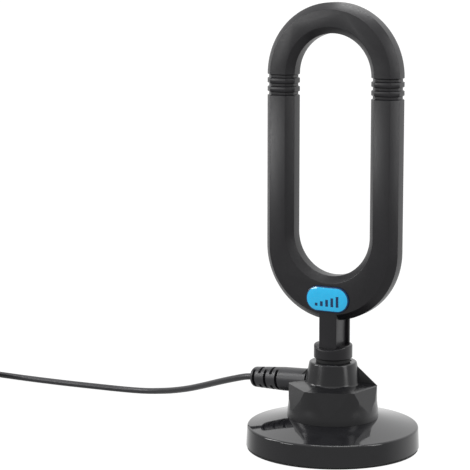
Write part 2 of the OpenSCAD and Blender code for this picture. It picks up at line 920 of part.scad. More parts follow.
// Front of the neck, with a small fillet where it grows out of the loop between the bevels
module neck_front_solid() {
    z_top = loop_low + bevel_w + shell_wall;
    depth = neck_lid_y - loop_front_y;
    fillet_low = loop_low + 0.3 - neck_fillet;
    fillet_y = loop_front_y + bevel_t;
    difference() {
        translate([-neck_w / 2, loop_front_y, collar_top])
            cube([neck_w, depth, z_top - collar_top]);
        translate([-neck_w / 2 - fit, element_board_y - 0.2, loop_low + shell_wall + 0.15])
            cube([neck_w + 2 * fit, loop_t, bevel_w + shell_wall]);
    }
    for (side = [0, 1])
        mirror([side, 0, 0])
            translate([neck_w / 2 - fit, fillet_y, fillet_low])
                difference() {
                    cube([neck_fillet, parting_y - fillet_y, neck_fillet + 0.6]);
                    translate([neck_fillet + fit, -cut, 0])
                        rotate([-90, 0, 0])
                            cylinder(r = neck_fillet, h = parting_y - fillet_y + 2 * cut);
                }
}

module neck_channel() {
    z_top = loop_low + bevel_w + 2 * shell_wall;
    translate([-neck_w / 2 + shell_wall, loop_front_y + shell_wall, collar_top + 1])
        cube([neck_w - 2 * shell_wall, loop_t, z_top - collar_top - 1]);
    translate([0, 0, collar_top - spigot_l - cut])
        cylinder(r = lead_hole_r, h = spigot_l + 3);
}

module at_loop_screws() {
    for (place = loop_screw_places)
        translate([place[0], 0, place[1]])
            rotate([-90, 0, 0])
                children();
}

module badge_outline(inset) {
    r = badge_h / 2 - inset;
    flat = (badge_w - badge_h) / 2;
    for (side = [-1, 1])
        translate([side * flat, 0])
            circle(r = r);
    translate([-flat, -r])
        square([2 * flat, 2 * r]);
}

module loop_front() {
    color(loop_color)
        difference() {
            union() {
                difference() {
                    intersection() {
                        difference() {
                            loop_solid(0);
                            groove_cut();
                        }
                        in_front_of(parting_y);
                    }
                    loop_solid(shell_wall);
                }
                intersection() {
                    neck_front_solid();
                    in_front_of(neck_lid_y);
                }
                translate([-spigot[0] / 2, -spigot[1] / 2, collar_top - spigot_l])
                    cube([spigot[0], spigot[1], spigot_l + fit]);
                at_loop_screws()
                    loop_boss();
            }
            neck_channel();
            at_loop_screws()
                translate([0, 0, loop_back_y - loop_screw_head_h - loop_screw_l - 0.2])
                    cylinder(r = loop_screw_shank_r + fit, h = loop_t);
            translate([0, loop_front_y - cut, badge_z])
                rotate([-90, 0, 0])
                    linear_extrude(cut + badge_recess)
                        badge_outline(-badge_gap);
            at_neck_screw()
                translate([0, 0, -neck_screw_recess - neck_screw_l - 0.2])
                    cylinder(r = neck_screw_shank_r + fit, h = neck_screw_l);
        }
}

// Boss for a shell screw: its broad foot carries the element's board
module loop_boss() {
    low = loop_front_y + shell_wall - 0.3;
    translate([0, 0, low])
        cylinder(r = loop_boss_foot_r, h = element_board_y - low);
    translate([0, 0, low])
        cylinder(r = loop_boss_r, h = loop_back_y - shell_wall - low);
}

module loop_back() {
    lid_top = loop_low + bevel_w + 2.2;
    color(loop_color)
        difference() {
            union() {
                difference() {
                    loop_solid(0);
                    groove_cut();
                    in_front_of(parting_y);
                    loop_solid(shell_wall);
                    translate([-neck_w / 2 - fit, 0, loop_low - 1])
                        cube([neck_w + 2 * fit, neck_lid_y, bevel_w + shell_wall + 1.1]);
                }
                translate([-neck_lid_w / 2, neck_lid_y, collar_top])
                    cube([neck_lid_w, neck_lid_t, lid_top - collar_top]);
            }
            at_loop_screws() {
                translate([0, 0, loop_back_y - loop_screw_head_h])
                    cylinder(r = loop_screw_head_r + 0.15, h = loop_t);
                cylinder(r = loop_screw_shank_r + 0.2, h = loop_t);
            }
        }
}

module loop_screws() {
    color(steel_color)
        at_loop_screws()
            translate([0, 0, loop_back_y - loop_screw_head_h])
                rotate([180, 0, 0])
                    screw(loop_screw_shank_r, loop_screw_head_r, loop_screw_head_h - 0.2, loop_screw_l);
}

// Flat upright ring between two round-ended outlines, grown by g
module flat_ring(y, t, outer, inner) {
    translate([0, y, 0])
        rotate([90, 0, 0])
            mirror([0, 0, 1])
                linear_extrude(t)
                    difference() {
                        round_ended(outer, low_outer_z);
                        round_ended(inner, low_inner_z);
                    }
}

module round_ended(r, low_z) {
    for (z = [low_z, high_z])
        translate([0, z])
            circle(r = r);
    translate([-r, low_z])
        square([2 * r, high_z - low_z]);
}

module element_board() {
    color("#235c38")
        difference() {
            flat_ring(element_board_y, element_board_t, element_out_r, element_in_r);
            at_loop_screws()
                cylinder(r = loop_boss_r + 0.15, h = loop_t);
        }
}

// Copper track on the board, open at the feed over the neck
module element() {
    y = element_board_y + element_board_t;
    color("#b87333")
        difference() {
            flat_ring(y, track_t, element_out_r - track_inset, element_in_r + track_inset);
            at_loop_screws()
                cylinder(r = loop_boss_r + 0.3, h = loop_t);
            translate([-feed_gap / 2, y - cut, 0])
                cube([feed_gap, track_t + 2 * cut, low_inner_z]);
        }
}

module balun() {
    color("#4b4b50")
        translate([-balun_size[0] / 2, element_board_y + element_board_t + track_t, badge_z - balun_size[1] / 2])
            cube([balun_size[0], balun_t - track_t, balun_size[1]]);
}

// Thin coaxial lead from the element's feed down the neck and stem to the socket on the board
module loop_lead() {
    r = 0.9;
    plug_r = socket_r + 0.7;
    plug_z = board_top + 0.5;
    plug_h = 2.6;
    top = low_outer_z - element_out_r - fit;
    color(lead_color) {
        translate([0, 0, plug_z + plug_h - 0.2])
            cylinder(r = r, h = top - plug_z - plug_h + 0.2);
        difference() {
            translate([0, 0, plug_z])
                cylinder(r = plug_r, h = plug_h);
            translate([0, 0, plug_z - cut])
                cylinder(r = socket_r + running_gap, h = board_top + socket_h - plug_z + cut + fit);
        }
    }
}

// Domed badge, let into the loop's face
module badge() {
    flat = (badge_w - badge_h) / 2;
    r = badge_h / 2;
    dome = [for (i = [0 : badge_steps]) let(a = 90 * i / badge_steps)
        [r * sin(a), -0.35 - (badge_dome - 0.35) * cos(a)]];
    half = concat([[0, badge_recess]], dome, [[r, badge_recess]]);
    outline = concat(dome, [[r, badge_recess]]);
    full = concat(outline, [for (i = [len(outline) - 1 : -1 : 1]) [-outline[i][0], outline[i][1]]]);
    color(badge_color)
        translate([0, loop_front_y, badge_z]) {
            for (side = [-1, 1])
                translate([side * flat, 0, 0])
                    rotate([-90, 0, 0])
                        rotate_extrude()
                            polygon(half);
            rotate([0, 90, 0])
                translate([0, 0, -flat])
                    linear_extrude(2 * flat)
                        polygon(full);
        }
}

module cable() {
    color(lead_color)
        tube_along(smooth_path(cable_points, cable_steps), lead_r);
}

module cable_coil() {
    r0 = coil_mid_r - coil_band / 2;
    color(lead_color)
        translate([coil_x, coil_y, coil_lift])
            rotate_extrude()
                polygon([[r0 + coil_corner, 0], [r0 + coil_band - coil_corner, 0], [r0 + coil_band, coil_corner],
                    [r0 + coil_band, coil_height - coil_corner], [r0 + coil_band - coil_corner, coil_height],
                    [r0 + coil_corner, coil_height], [r0, coil_height - coil_corner], [r0, coil_corner]]);
}

function eased(t) = t * t * (3 - 2 * t);
function tail_point(i) = let(t = i / tail_rings, fall = max(0, (t - tail_level) / (1 - tail_level)))
    [coil_x - tail_from_r - tail_drift * eased(t), coil_y - tail_l * t,
        tail_start_z + (tail_end_z - tail_start_z) * eased(fall)];

module cable_tail() {
    color(lead_color)
        tube_along([for (i = [0 : tail_rings]) tail_point(i)], lead_r);
}

module coil_tie() {
    r0 = coil_mid_r - coil_band / 2;
    in_x = sqrt(r0 * r0 - tie_w * tie_w / 4) - fit;
    out_x = r0 + coil_band + fit;
    color("#2a2a2a")
        translate([coil_x, coil_y, coil_lift])
            rotate([0, 0, tie_turn])
                difference() {
                    translate([in_x - tie_t, -tie_w / 2, -tie_t])
                        cube([out_x - in_x + 2 * tie_t, tie_w, coil_height + 2 * tie_t]);
                    translate([in_x, -tie_w, 0])
                        cube([out_x - in_x, 2 * tie_w, coil_height + fit]);
                }
}

module at_plug() {
    translate([plug_x, plug_y, grip_r])
        rotate([90, 0, 0])
            children();
}

module plug_grip() {
    round_l = 1.5;
    color(lead_color)
        at_plug()
            difference() {
                rotate_extrude()
                    polygon([[0, 0], [grip_neck_r - 0.5, 0], [grip_neck_r, 0.5], [grip_neck_r + 0.6, grip_neck_l],
                        [grip_r - 0.6, grip_neck_l + round_l], [grip_r, grip_neck_l + 2 * round_l],
                        [grip_r, grip_neck_l + grip_l - 0.6], [grip_r - 0.6, grip_neck_l + grip_l],
                        [0, grip_neck_l + grip_l]]);
                translate([0, 0, shell_z - shell_seat])
                    cylinder(r = shell_root_r + fit, h = shell_seat + cut);
                translate([0, 0, shell_z - shell_seat - pin_seat])
                    cylinder(r = pin_root_r + fit, h = pin_seat + cut);
            }
}

module plug_shell() {
    color(steel_color)
        at_plug()
            translate([0, 0, shell_z])
                rotate_extrude()
                    polygon([[shell_root_r - shell_wall_t, -shell_seat], [shell_root_r, -shell_seat],
                        [shell_root_r, 0], [plug_d / 2, 0], [plug_d / 2, shell_l],
                        [plug_d / 2 - shell_wall_t, shell_l], [plug_d / 2 - shell_wall_t, shell_wall_t],
                        [shell_root_r - shell_wall_t, shell_wall_t]]);
}

module plug_insulator() {
    color("white")
        at_plug()
            translate([0, 0, shell_z - shell_seat])
                tube(shell_root_r - shell_wall_t - fit, pin_root_r + fit, insulator_l);
}

module plug_pin() {
    tip = 0.6;
    step_z = insulator_l - shell_seat;
    color(steel_color)
        at_plug()
            translate([0, 0, shell_z])
                rotate_extrude()
                    polygon([[0, -shell_seat - pin_seat], [pin_root_r, -shell_seat - pin_seat],
                        [pin_root_r, step_z], [plug_pin_d / 2, step_z], [plug_pin_d / 2, pin_l - tip],
                        [plug_pin_d / 2 - tip, pin_l], [0, pin_l]]);
}

foot_pad();
magnet();
yoke_plate();
yoke_screws();
foot_cover();
housing_screws();
housing();
board();
board_screws();
shield_can();
amplifier_chip();
bias_choke();
capacitor();
board_socket();
strain_relief();
crimp_ferrule();
inner_lead();
friction_ring();
stop_plate();
retaining_clip();
collar();
neck_screw();
loop_front();
loop_back();
loop_screws();
element_board();
element();
balun();
loop_lead();
badge();
cable();
cable_coil();
cable_tail();
coil_tie();
plug_grip();
plug_shell();
plug_insulator();
plug_pin();
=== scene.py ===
import json
import math

import bmesh
import bpy
from mathutils import Matrix, Vector


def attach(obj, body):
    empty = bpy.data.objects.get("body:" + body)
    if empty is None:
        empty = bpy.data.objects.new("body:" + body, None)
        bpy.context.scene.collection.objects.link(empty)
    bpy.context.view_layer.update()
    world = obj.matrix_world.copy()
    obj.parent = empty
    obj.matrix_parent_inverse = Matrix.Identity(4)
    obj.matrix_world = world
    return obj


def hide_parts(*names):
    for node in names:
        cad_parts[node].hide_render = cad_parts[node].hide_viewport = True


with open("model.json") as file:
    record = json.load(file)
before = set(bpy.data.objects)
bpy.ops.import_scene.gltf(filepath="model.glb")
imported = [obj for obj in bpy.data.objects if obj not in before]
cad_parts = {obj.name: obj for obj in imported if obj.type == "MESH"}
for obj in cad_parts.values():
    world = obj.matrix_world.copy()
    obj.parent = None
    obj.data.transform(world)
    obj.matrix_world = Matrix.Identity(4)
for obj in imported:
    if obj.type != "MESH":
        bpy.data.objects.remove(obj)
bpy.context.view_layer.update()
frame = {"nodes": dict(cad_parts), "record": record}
nodes = frame["nodes"]

# Sizes in millimetres
MM = 0.001
FOOT_R = 38.0
RIM_EDGE_R = 37.6
RIM_Z = 10.2
RIM_R = 1.0
DOME_Z = 13.9
FLANGE_R = 20.0
PAD_T = 0.8
FLAT_R = 17.4
FLAT_Z = 28.0
FLAT_LEAN = 13.5
FRONT_SLOPE = 13.0
CROWN_SLOPE = 48.0
CROWN_DROP = 0.5
CROWN_END_TURN = 14.0
FLANGE_TOP_Z = 18.3
BODY_R = 19.4
HEX_TURN = -10.0
FACET = 60.0
CONE_Z = 38.6
CONE_TOP_R = 10.5
CONE_FOOT_R = 11.9
COLLAR_Z = 40.2
COLLAR_TOP = 46.3
COLLAR_R = 8.43
COLLAR_DIP = 1.5
STEM_R = 5.45
STEM_BORE_R = 2.6
STEM_FOOT_Z = 31.3
STEM_HOLE_R = 5.5
CLIP_Z = 32.1
CLIP_W = 0.9
CLIP_DEPTH = 0.8
RING_BORE_R = 5.7
RING_R = 7.5
RING_SEAT_Z = 38.2
RING_TOP_Z = 40.12
NECK_HALF = 4.15
NECK_LID_HALF = 5.4
NECK_SINK = 2.2
NECK_TOP_Z = 62.15
LID_TOP_Z = 62.35
NECK_SCREW_DOWN = 2.6
NECK_SCREW_RECESS = 1.5
LOOP_T = 11.8
BEVEL_W = 2.9
BEVEL_T = 3.3
PARTING_Y = LOOP_T / 2 - BEVEL_T
HALF_W = 31.25
HALF_OPEN = 18.1
LOW_OUTER_Z = 88.5
LOW_INNER_Z = 94.8
HIGH_Z = 163.4
GROOVE_TOP_Z = 163.2
GROOVE_PITCH = 3.7
GROOVE_W = 1.5
GROOVE_DEPTH = 0.65
GROOVES = 3
BADGE_W = 20.4
BADGE_H = 11.2
BADGE_Z = 66.975
BADGE_RECESS = 0.6
BADGE_DOME = 1.1
BADGE_EDGE = 0.35
WALL = 2.0
LID_T = 1.5
SCREW_HEAD_R = 1.9
SCREW_RECESS_R = 2.05
SCREW_RECESS = 1.3
RELIEF_SEAT = 17.3
RELIEF_Z = 27.4
RELIEF_L = 26.0
RELIEF_DIP = 4.9
RELIEF_R = 5.3
RELIEF_END_R = 4.6
RELIEF_ROOT = 5.5
SLOT_X = 9.9
SLOT_PITCH = 3.25
SLOT_W = 1.4
SLOTS = 5
SPINE = 2.5
LEAD_D = 3.0
COIL_X = -228.0
COIL_Y = 14.0
COIL_MID_R = 18.0
COIL_LIFT = 0.6
COLUMNS = 5
LAYERS = 4
TIE_TURN = 40.0
TIE_W = 5.0
TIE_T = 0.6
TAIL_L = 34.0
TAIL_DRIFT = 3.0
TAIL_LEVEL = 0.25
GRIP_R = 5.6
GRIP_L = 31.0
GRIP_SOCKET_Z = 28.0
PLUG_R = 4.75
PLUG_L = 9.0
PIN_R = 1.2
PIN_TIP = 10.0


def srgb(code, alpha=1.0):
    """Linear colour of an sRGB hex value."""
    parts = [int(code[i : i + 2], 16) / 255 for i in (1, 3, 5)]
    return [p / 12.92 if p <= 0.04045 else ((p + 0.055) / 1.055) ** 2.4 for p in parts] + [alpha]


def point_mm(x, y, z):
    """Place given in millimetres, in Blender's metres."""
    return Vector((x * MM, y * MM, z * MM))


# Camera


def photo_camera():
    """Camera of the photograph, fitted to the foot's ellipses and the loop's outline."""
    picture_px = 470
    focal_px = 1977.475
    sensor_mm = 36.0
    distance, around, height = 847.19, 25.515, 230.21
    yaw, pitch, roll = 2.903, 9.124, -0.034
    place = Vector(
        (distance * math.sin(math.radians(around)), -distance * math.cos(math.radians(around)), height)
    )
    heading = math.atan2(-place.y, -place.x) + math.radians(yaw)
    down = math.radians(pitch)
    forward = Vector(
        (math.cos(heading) * math.cos(down), math.sin(heading) * math.cos(down), -math.sin(down))
    )
    right = forward.cross(Vector((0, 0, 1))).normalized()
    up = right.cross(forward)
    turn = Matrix.Rotation(math.radians(-roll), 3, forward)
    right, up = turn @ right, turn @ up
    data = bpy.data.cameras.new("photo_camera")
    data.sensor_fit = "HORIZONTAL"
    data.sensor_width = sensor_mm
    data.lens = focal_px / picture_px * sensor_mm
    data.clip_start = 0.05
    data.clip_end = 20
    camera = bpy.data.objects.new("photo_camera", data)
    axes = Matrix((right, up, -forward)).transposed().to_4x4()
    camera.matrix_world = Matrix.Translation(place * MM) @ axes
    bpy.context.scene.collection.objects.link(camera)
    bpy.context.scene.camera = camera


photo_camera()


# Nodes of a material


def node(tree, kind, inputs=None, **settings):
    """Adds one node with its settings; an input is a value, or an output to link."""
    made = tree.nodes.new(kind)
    for name, value in settings.items():
        setattr(made, name, value)
    for name, value in (inputs or {}).items():
        if isinstance(value, bpy.types.NodeSocket):
            tree.links.new(value, made.inputs[name])
        else:
            made.inputs[name].default_value = value
    return made


def new_material(name, **shader_inputs):
    """Material with one Principled shader; returns it with its tree and shader."""
    material = bpy.data.materials.new(name)
    material.use_nodes = True
    tree = material.node_tree
    shader = tree.nodes["Principled BSDF"]
    for socket, value in shader_inputs.items():
        shader.inputs[socket.replace("_", " ")].default_value = value
    return material, tree, shader


def grain(tree, size_mm, detail=2.0, rough=0.5):
    """Noise of a real grain size in object space."""
    place = node(tree, "ShaderNodeTexCoord")
    return node(
        tree,
        "ShaderNodeTexNoise",
        {
            "Vector": place.outputs["Object"],
            "Scale": 1 / (size_mm * MM),
            "Detail": detail,
            "Roughness": rough,
        },
    )


def bump(tree, shader, height, depth_mm, strength=1.0):
    """Relief of a real depth from a texture."""
    made = node(
        tree,
        "ShaderNodeBump",
        {"Height": height, "Distance": depth_mm * MM, "Strength": strength},
    )
    tree.links.new(made.outputs["Normal"], shader.inputs["Normal"])


def ramp(tree, value, start, end, low, high, way="SMOOTHSTEP"):
    """Number that goes from low to high while the value goes from start to end."""
    made = node(
        tree,
        "ShaderNodeMapRange",
        {"Value": value, "From Min": start, "From Max": end, "To Min": low, "To Max": high},
        interpolation_type=way,
    )
    return made.outputs["Result"]


def vary(tree, socket, value, low, high):
    """Spreads a texture's middle range over low to high and feeds a socket."""
    tree.links.new(ramp(tree, value, 0.3, 0.7, low, high, "LINEAR"), socket)


def tint(tree, socket, value, dark, light):
    """Colour between two hex values along a texture."""
    made = node(tree, "ShaderNodeMix", data_type="RGBA")
    made.inputs[6].default_value = srgb(dark)
    made.inputs[7].default_value = srgb(light)
    tree.links.new(value, made.inputs[0])
    tree.links.new(made.outputs[2], socket)


# Materials


def eroded_abs():
    """Black ABS from a spark-eroded mould: a fine even grain that spreads the light."""
    made, tree, shader = new_material("spark_eroded_abs", IOR=1.47, Roughness=0.4)
    cells = grain(tree, 0.7, 3.0, 0.65)
    bump(tree, shader, cells.outputs["Fac"], 0.05, 0.5)
    vary(tree, shader.inputs["Roughness"], cells.outputs["Fac"], 0.28, 0.4)
    cloud = grain(tree, 9.0, 3.0)
    tint(tree, shader.inputs["Base Color"], cloud.outputs["Fac"], "#131215", "#1a191d")
    return made


def polished_abs():
    """High-gloss black ABS from a polished mould, with a faint long ripple."""
    made, tree, shader = new_material("polished_abs", IOR=1.54, Roughness=0.06)
    ripple = grain(tree, 14.0, 1.0)
    bump(tree, shader, ripple.outputs["Fac"], 0.02, 0.25)
    haze = grain(tree, 3.0, 4.0)
    vary(tree, shader.inputs["Roughness"], haze.outputs["Fac"], 0.045, 0.085)
    tint(tree, shader.inputs["Base Color"], haze.outputs["Fac"], "#161618", "#1d1d20")
    return made


def satin_abs():
    """Satin black ABS: the mould was only fine-polished, so lights spread a little."""
    made, tree, shader = new_material("satin_abs", IOR=1.54, Roughness=0.22)
    fine = grain(tree, 0.5, 2.0)
    bump(tree, shader, fine.outputs["Fac"], 0.01, 0.3)
    haze = grain(tree, 5.0, 3.0)
    vary(tree, shader.inputs["Roughness"], haze.outputs["Fac"], 0.19, 0.26)
    tint(tree, shader.inputs["Base Color"], haze.outputs["Fac"], "#121214", "#161619")
    return made


def flexible_pvc():
    """Black flexible PVC of leads and reliefs: a soft waxy sheen."""
    made, tree, shader = new_material("flexible_pvc", IOR=1.53, Roughness=0.36)
    fine = grain(tree, 0.6, 3.0)
    bump(tree, shader, fine.outputs["Fac"], 0.012, 0.4)
    vary(tree, shader.inputs["Roughness"], fine.outputs["Fac"], 0.32, 0.4)
    haze = grain(tree, 8.0, 2.0)
    tint(tree, shader.inputs["Base Color"], haze.outputs["Fac"], "#212124", "#29292d")
    return made


def tie_nylon():
    """Black nylon of the cable tie: harder and glossier than the lead."""
    made, tree, shader = new_material("tie_nylon", IOR=1.53, Roughness=0.3)
    ribs = grain(tree, 0.5, 1.0)
    bump(tree, shader, ribs.outputs["Fac"], 0.01, 0.5)
    tint(tree, shader.inputs["Base Color"], ribs.outputs["Fac"], "#131315", "#1a1a1c")
    return made


def nitrile_rubber():
    """Matt black nitrile rubber of pads and friction rings."""
    made, tree, shader = new_material("nitrile_rubber", IOR=1.52, Roughness=0.75)
    fine = grain(tree, 0.4, 3.0)
    bump(tree, shader, fine.outputs["Fac"], 0.04, 0.5)
    tint(tree, shader.inputs["Base Color"], fine.outputs["Fac"], "#0d0d0e", "#151516")
    return made


def resin_badge():
    """Blue label under a clear cast resin dome: glossy and deep, with a faint cloud in the blue."""
    made, tree, shader = new_material(
        "resin_badge", IOR=1.5, Roughness=0.12, Coat_Weight=1.0, Coat_Roughness=0.03
    )
    cloud = grain(tree, 2.5, 2.0)
    tint(tree, shader.inputs["Base Color"], cloud.outputs["Fac"], "#00baf4", "#0cc8ff")
    return made


def badge_ink():
    """Dark blue printing ink under the resin."""
    made, tree, shader = new_material("badge_ink", IOR=1.5, Roughness=0.25)
    cloud = grain(tree, 1.0, 2.0)
    tint(tree, shader.inputs["Base Color"], cloud.outputs["Fac"], "#0b2f57", "#123c68")
    return made


def zinc_plate():
    """Bright zinc on steel screws and plates, with a slightly uneven sheen."""
    made, tree, shader = new_material("zinc_plate", Metallic=1.0, Roughness=0.32)
    cloud = grain(tree, 1.2, 4.0)
    vary(tree, shader.inputs["Roughness"], cloud.outputs["Fac"], 0.26, 0.42)
    tint(tree, shader.inputs["Base Color"], cloud.outputs["Fac"], "#a9abb0", "#c3c5c9")
    return made


def nickel_plate():
    """Nickel on the turned brass of the plug."""
    made, tree, shader = new_material("nickel_plate", Metallic=1.0, Roughness=0.2)
    cloud = grain(tree, 1.5, 3.0)
    vary(tree, shader.inputs["Roughness"], cloud.outputs["Fac"], 0.16, 0.28)
    tint(tree, shader.inputs["Base Color"], cloud.outputs["Fac"], "#b9b5ab", "#cbc8c0")
    return made


def copper_foil():
    """Etched copper foil with a little tarnish."""
    made, tree, shader = new_material("copper_foil", Metallic=1.0, Roughness=0.35)
    cloud = grain(tree, 3.0, 4.0)
    tint(tree, shader.inputs["Base Color"], cloud.outputs["Fac"], "#a8623c", "#c98057")
    return made


def board_laminate():
    """Green solder mask on glass-fibre laminate, with the weave just showing."""
    made, tree, shader = new_material("board_laminate", IOR=1.5, Roughness=0.4)
    weave = grain(tree, 0.8, 2.0)
    bump(tree, shader, weave.outputs["Fac"], 0.02, 0.4)
    tint(tree, shader.inputs["Base Color"], weave.outputs["Fac"], "#174a2b", "#205c37")
    return made


def sintered_ferrite():
    """Sintered ferrite: dark grey and dull, with a fine open grain."""
    made, tree, shader = new_material("sintered_ferrite", IOR=1.6, Roughness=0.6)
    fine = grain(tree, 0.5, 4.0)
    bump(tree, shader, fine.outputs["Fac"], 0.03, 0.5)
    tint(tree, shader.inputs["Base Color"], fine.outputs["Fac"], "#303134", "#3f4043")
    return made


def moulded_epoxy():
    """Black moulding epoxy of chips and capacitors."""
    made, tree, shader = new_material("moulded_epoxy", IOR=1.55, Roughness=0.5)
    fine = grain(tree, 0.3, 3.0)
    tint(tree, shader.inputs["Base Color"], fine.outputs["Fac"], "#131315", "#1c1c1f")
    return made


def natural_polythene():
    """Waxy natural polythene of the plug's insulator."""
    made, tree, shader = new_material("natural_polythene", IOR=1.51, Roughness=0.4, Subsurface_Weight=0.1)
    cloud = grain(tree, 2.0, 2.0)
    tint(tree, shader.inputs["Base Color"], cloud.outputs["Fac"], "#dcdad2", "#e8e6df")
    return made


eroded = eroded_abs()
polished = polished_abs()
satin = satin_abs()
pvc = flexible_pvc()
rubber = nitrile_rubber()
resin = resin_badge()
ink = badge_ink()
zinc = zinc_plate()
nickel = nickel_plate()
copper = copper_foil()
laminate = board_laminate()
ferrite = sintered_ferrite()
epoxy = moulded_epoxy()
polythene = natural_polythene()
nylon = tie_nylon()

SLOT_LOOKS = {
    "gloss_black": polished,
    "satin_black": satin,
    "matte_black": eroded,
    "badge_blue": resin,
    "lead_black": pvc,
    "tie_black": nylon,
    "pad_rubber": rubber,
    "ferrite": ferrite,
    "zinc_steel": zinc,
    "tinned_steel": zinc,
    "laminate": laminate,
    "chip_black": epoxy,
    "contact_metal": nickel,
    "copper": copper,
    "plug_metal": nickel,
    "insulator_white": polythene,
}


def dress_cad_nodes():
    """The CAD solids wear the material of their slot."""
    for part in frame["record"]["subparts"]:
        data = nodes[part["node"]].data
        data.materials.clear()
        data.materials.append(SLOT_LOOKS[part["material_slot"]])


dress_cad_nodes()


# Meshes


def piece_of(name, shape, material):
    """Object at the origin from a bmesh, with one material."""
    data = bpy.data.meshes.new(name)
    shape.to_mesh(data)
    shape.free()
    data.materials.append(material)
    made = bpy.data.objects.new(name, data)
    bpy.context.scene.collection.objects.link(made)
    return made


def settled(piece):
    """The piece with its modifiers applied."""
    bpy.context.view_layer.update()
    graph = bpy.context.evaluated_depsgraph_get()
    done = bpy.data.meshes.new_from_object(piece.evaluated_get(graph), depsgraph=graph)
    piece.modifiers.clear()
    old = piece.data
    piece.data = done
    bpy.data.meshes.remove(old)


def smooth_by_angle(piece, degrees):
    """Smooth faces, with an edge kept sharp where it turns by more than the angle."""
    shape = bmesh.new()
    shape.from_mesh(piece.data)
    for face in shape.faces:
        face.smooth = True
    limit = math.radians(degrees)
    for edge in shape.edges:
        edge.smooth = len(edge.link_faces) == 2 and edge.calc_face_angle(0) < limit
    shape.to_mesh(piece.data)
    shape.free()


def softened(piece, width_mm, edge_angle=24, segments=3, smooth_angle=35):
    """Rounds the piece's sharp edges as a mould does."""
    rounding = piece.modifiers.new("rounding", "BEVEL")
    rounding.width = width_mm * MM
    rounding.segments = segments
    rounding.limit_method = "ANGLE"
    rounding.angle_limit = math.radians(edge_angle)
    rounding.use_clamp_overlap = True
    rounding.miter_outer = "MITER_ARC"
    even = piece.modifiers.new("even_normals", "WEIGHTED_NORMAL")
    even.keep_sharp = True
    smooth_by_angle(piece, smooth_angle)
    settled(piece)


def revolved(profile, steps=192, place=None):
    """Bmesh of a closed profile of (radius, height) in millimetres turned about Z."""
    shape = bmesh.new()
    rings = []
    for r, z in profile:
        if r < 1e-6:
            rings.append([shape.verts.new(point_mm(0, 0, z))])
            continue
        rings.append(
            [
                shape.verts.new(
                    point_mm(
                        r * math.cos(2 * math.pi * k / steps), r * math.sin(2 * math.pi * k / steps), z
                    )
                )
                for k in range(steps)
            ]
        )
    for low, high in zip(rings, rings[1:] + rings[:1]):
        for k in range(steps):
            n = (k + 1) % steps
            around = [low[k % len(low)], low[n % len(low)], high[n % len(high)], high[k % len(high)]]
            corners = list(dict.fromkeys(around))
            if len(corners) > 2:
                shape.faces.new(corners)
    bmesh.ops.recalc_face_normals(shape, faces=shape.faces)
    if place is not None:
        shape.transform(place)
    return shape


def arc_points(cx, cy, r, start, end, steps):
    """Points on an arc between two angles in degrees."""
    return [
        (
            cx + r * math.cos(math.radians(start + (end - start) * i / steps)),
            cy + r * math.sin(math.radians(start + (end - start) * i / steps)),
        )
        for i in range(steps + 1)
    ]


def sliced(shape, turn, r, z, slope):
    """Cuts away what lies above a roof plane, or outside a flat, and caps it."""
    out = Vector((math.cos(math.radians(turn)), math.sin(math.radians(turn)), 0))
    up = Vector((0, 0, 1))
    normal = out * math.sin(math.radians(slope)) + up * math.cos(math.radians(slope))
    on_plane = out * r * MM + up * z * MM
    cut = bmesh.ops.bisect_plane(
        shape,
        geom=shape.verts[:] + shape.edges[:] + shape.faces[:],
        plane_co=on_plane,
        plane_no=normal,
        clear_outer=True,
        dist=1e-7,
    )
    rim = [e for e in cut["geom_cut"] if isinstance(e, bmesh.types.BMEdge)]
    if rim:
        bmesh.ops.holes_fill(shape, edges=rim, sides=0)


def combined(name, first, steps, material):
    """One closed piece from a bmesh and a list of (operation, bmesh) exact booleans."""
    piece = piece_of(name, first, material)
    for operation, shape in steps:
        tool = piece_of(name + "_tool", shape, material)
        step = piece.modifiers.new("step", "BOOLEAN")
        step.operation = operation
        step.solver = "EXACT"
        step.object = tool
        settled(piece)
        bpy.data.objects.remove(tool)
    return piece


def merged(piece, distance_mm=0.002, flat_angle=0.3):
    """Merges doubled points and flat neighbours."""
    shape = bmesh.new()
    shape.from_mesh(piece.data)
    bmesh.ops.remove_doubles(shape, verts=shape.verts, dist=distance_mm * MM)
    bmesh.ops.dissolve_degenerate(shape, edges=shape.edges, dist=distance_mm * MM)
    bmesh.ops.dissolve_limit(
        shape, angle_limit=math.radians(flat_angle), verts=shape.verts, edges=shape.edges
    )
    shape.to_mesh(piece.data)
    shape.free()


# Lead


def along_relief():
    """Frame of the strain relief: x runs out along it from its seat, z across it."""
    turn = Matrix.Rotation(math.radians(HEX_TURN + 180), 4, "Z")
    seat = Matrix.Translation(point_mm(RELIEF_SEAT, 0, RELIEF_Z))
    return turn @ seat @ Matrix.Rotation(math.radians(RELIEF_DIP), 4, "Y")


RELIEF_FRAME = along_relief()
LEAD_EXIT = RELIEF_FRAME @ point_mm(RELIEF_L, 0, 0)
LEAD_ROUTE = [
    (-0.048, 0.0087, 0.0243),
    (-0.056, 0.0118, 0.0218),
    (-0.066, 0.0164, 0.0183),
    (-0.077, 0.022, 0.0142),
    (-0.089, 0.028, 0.01),
    (-0.101, 0.0336, 0.0065),
    (-0.112, 0.038, 0.004),
    (-0.122, 0.0406, 0.0024),
    (-0.134, 0.0416, 0.0016),
    (-0.15, 0.0406, 0.0015),
    (-0.168, 0.0394, 0.0015),
    (-0.188, 0.0386, 0.0016),
    (-0.21, 0.0381, 0.0019),
    (-0.228, 0.038, 0.0021),
]


def eased(t):
    """Goes from 0 to 1 with no kink at either end."""
    t = min(max(t, 0.0), 1.0)
    return t * t * (3 - 2 * t)


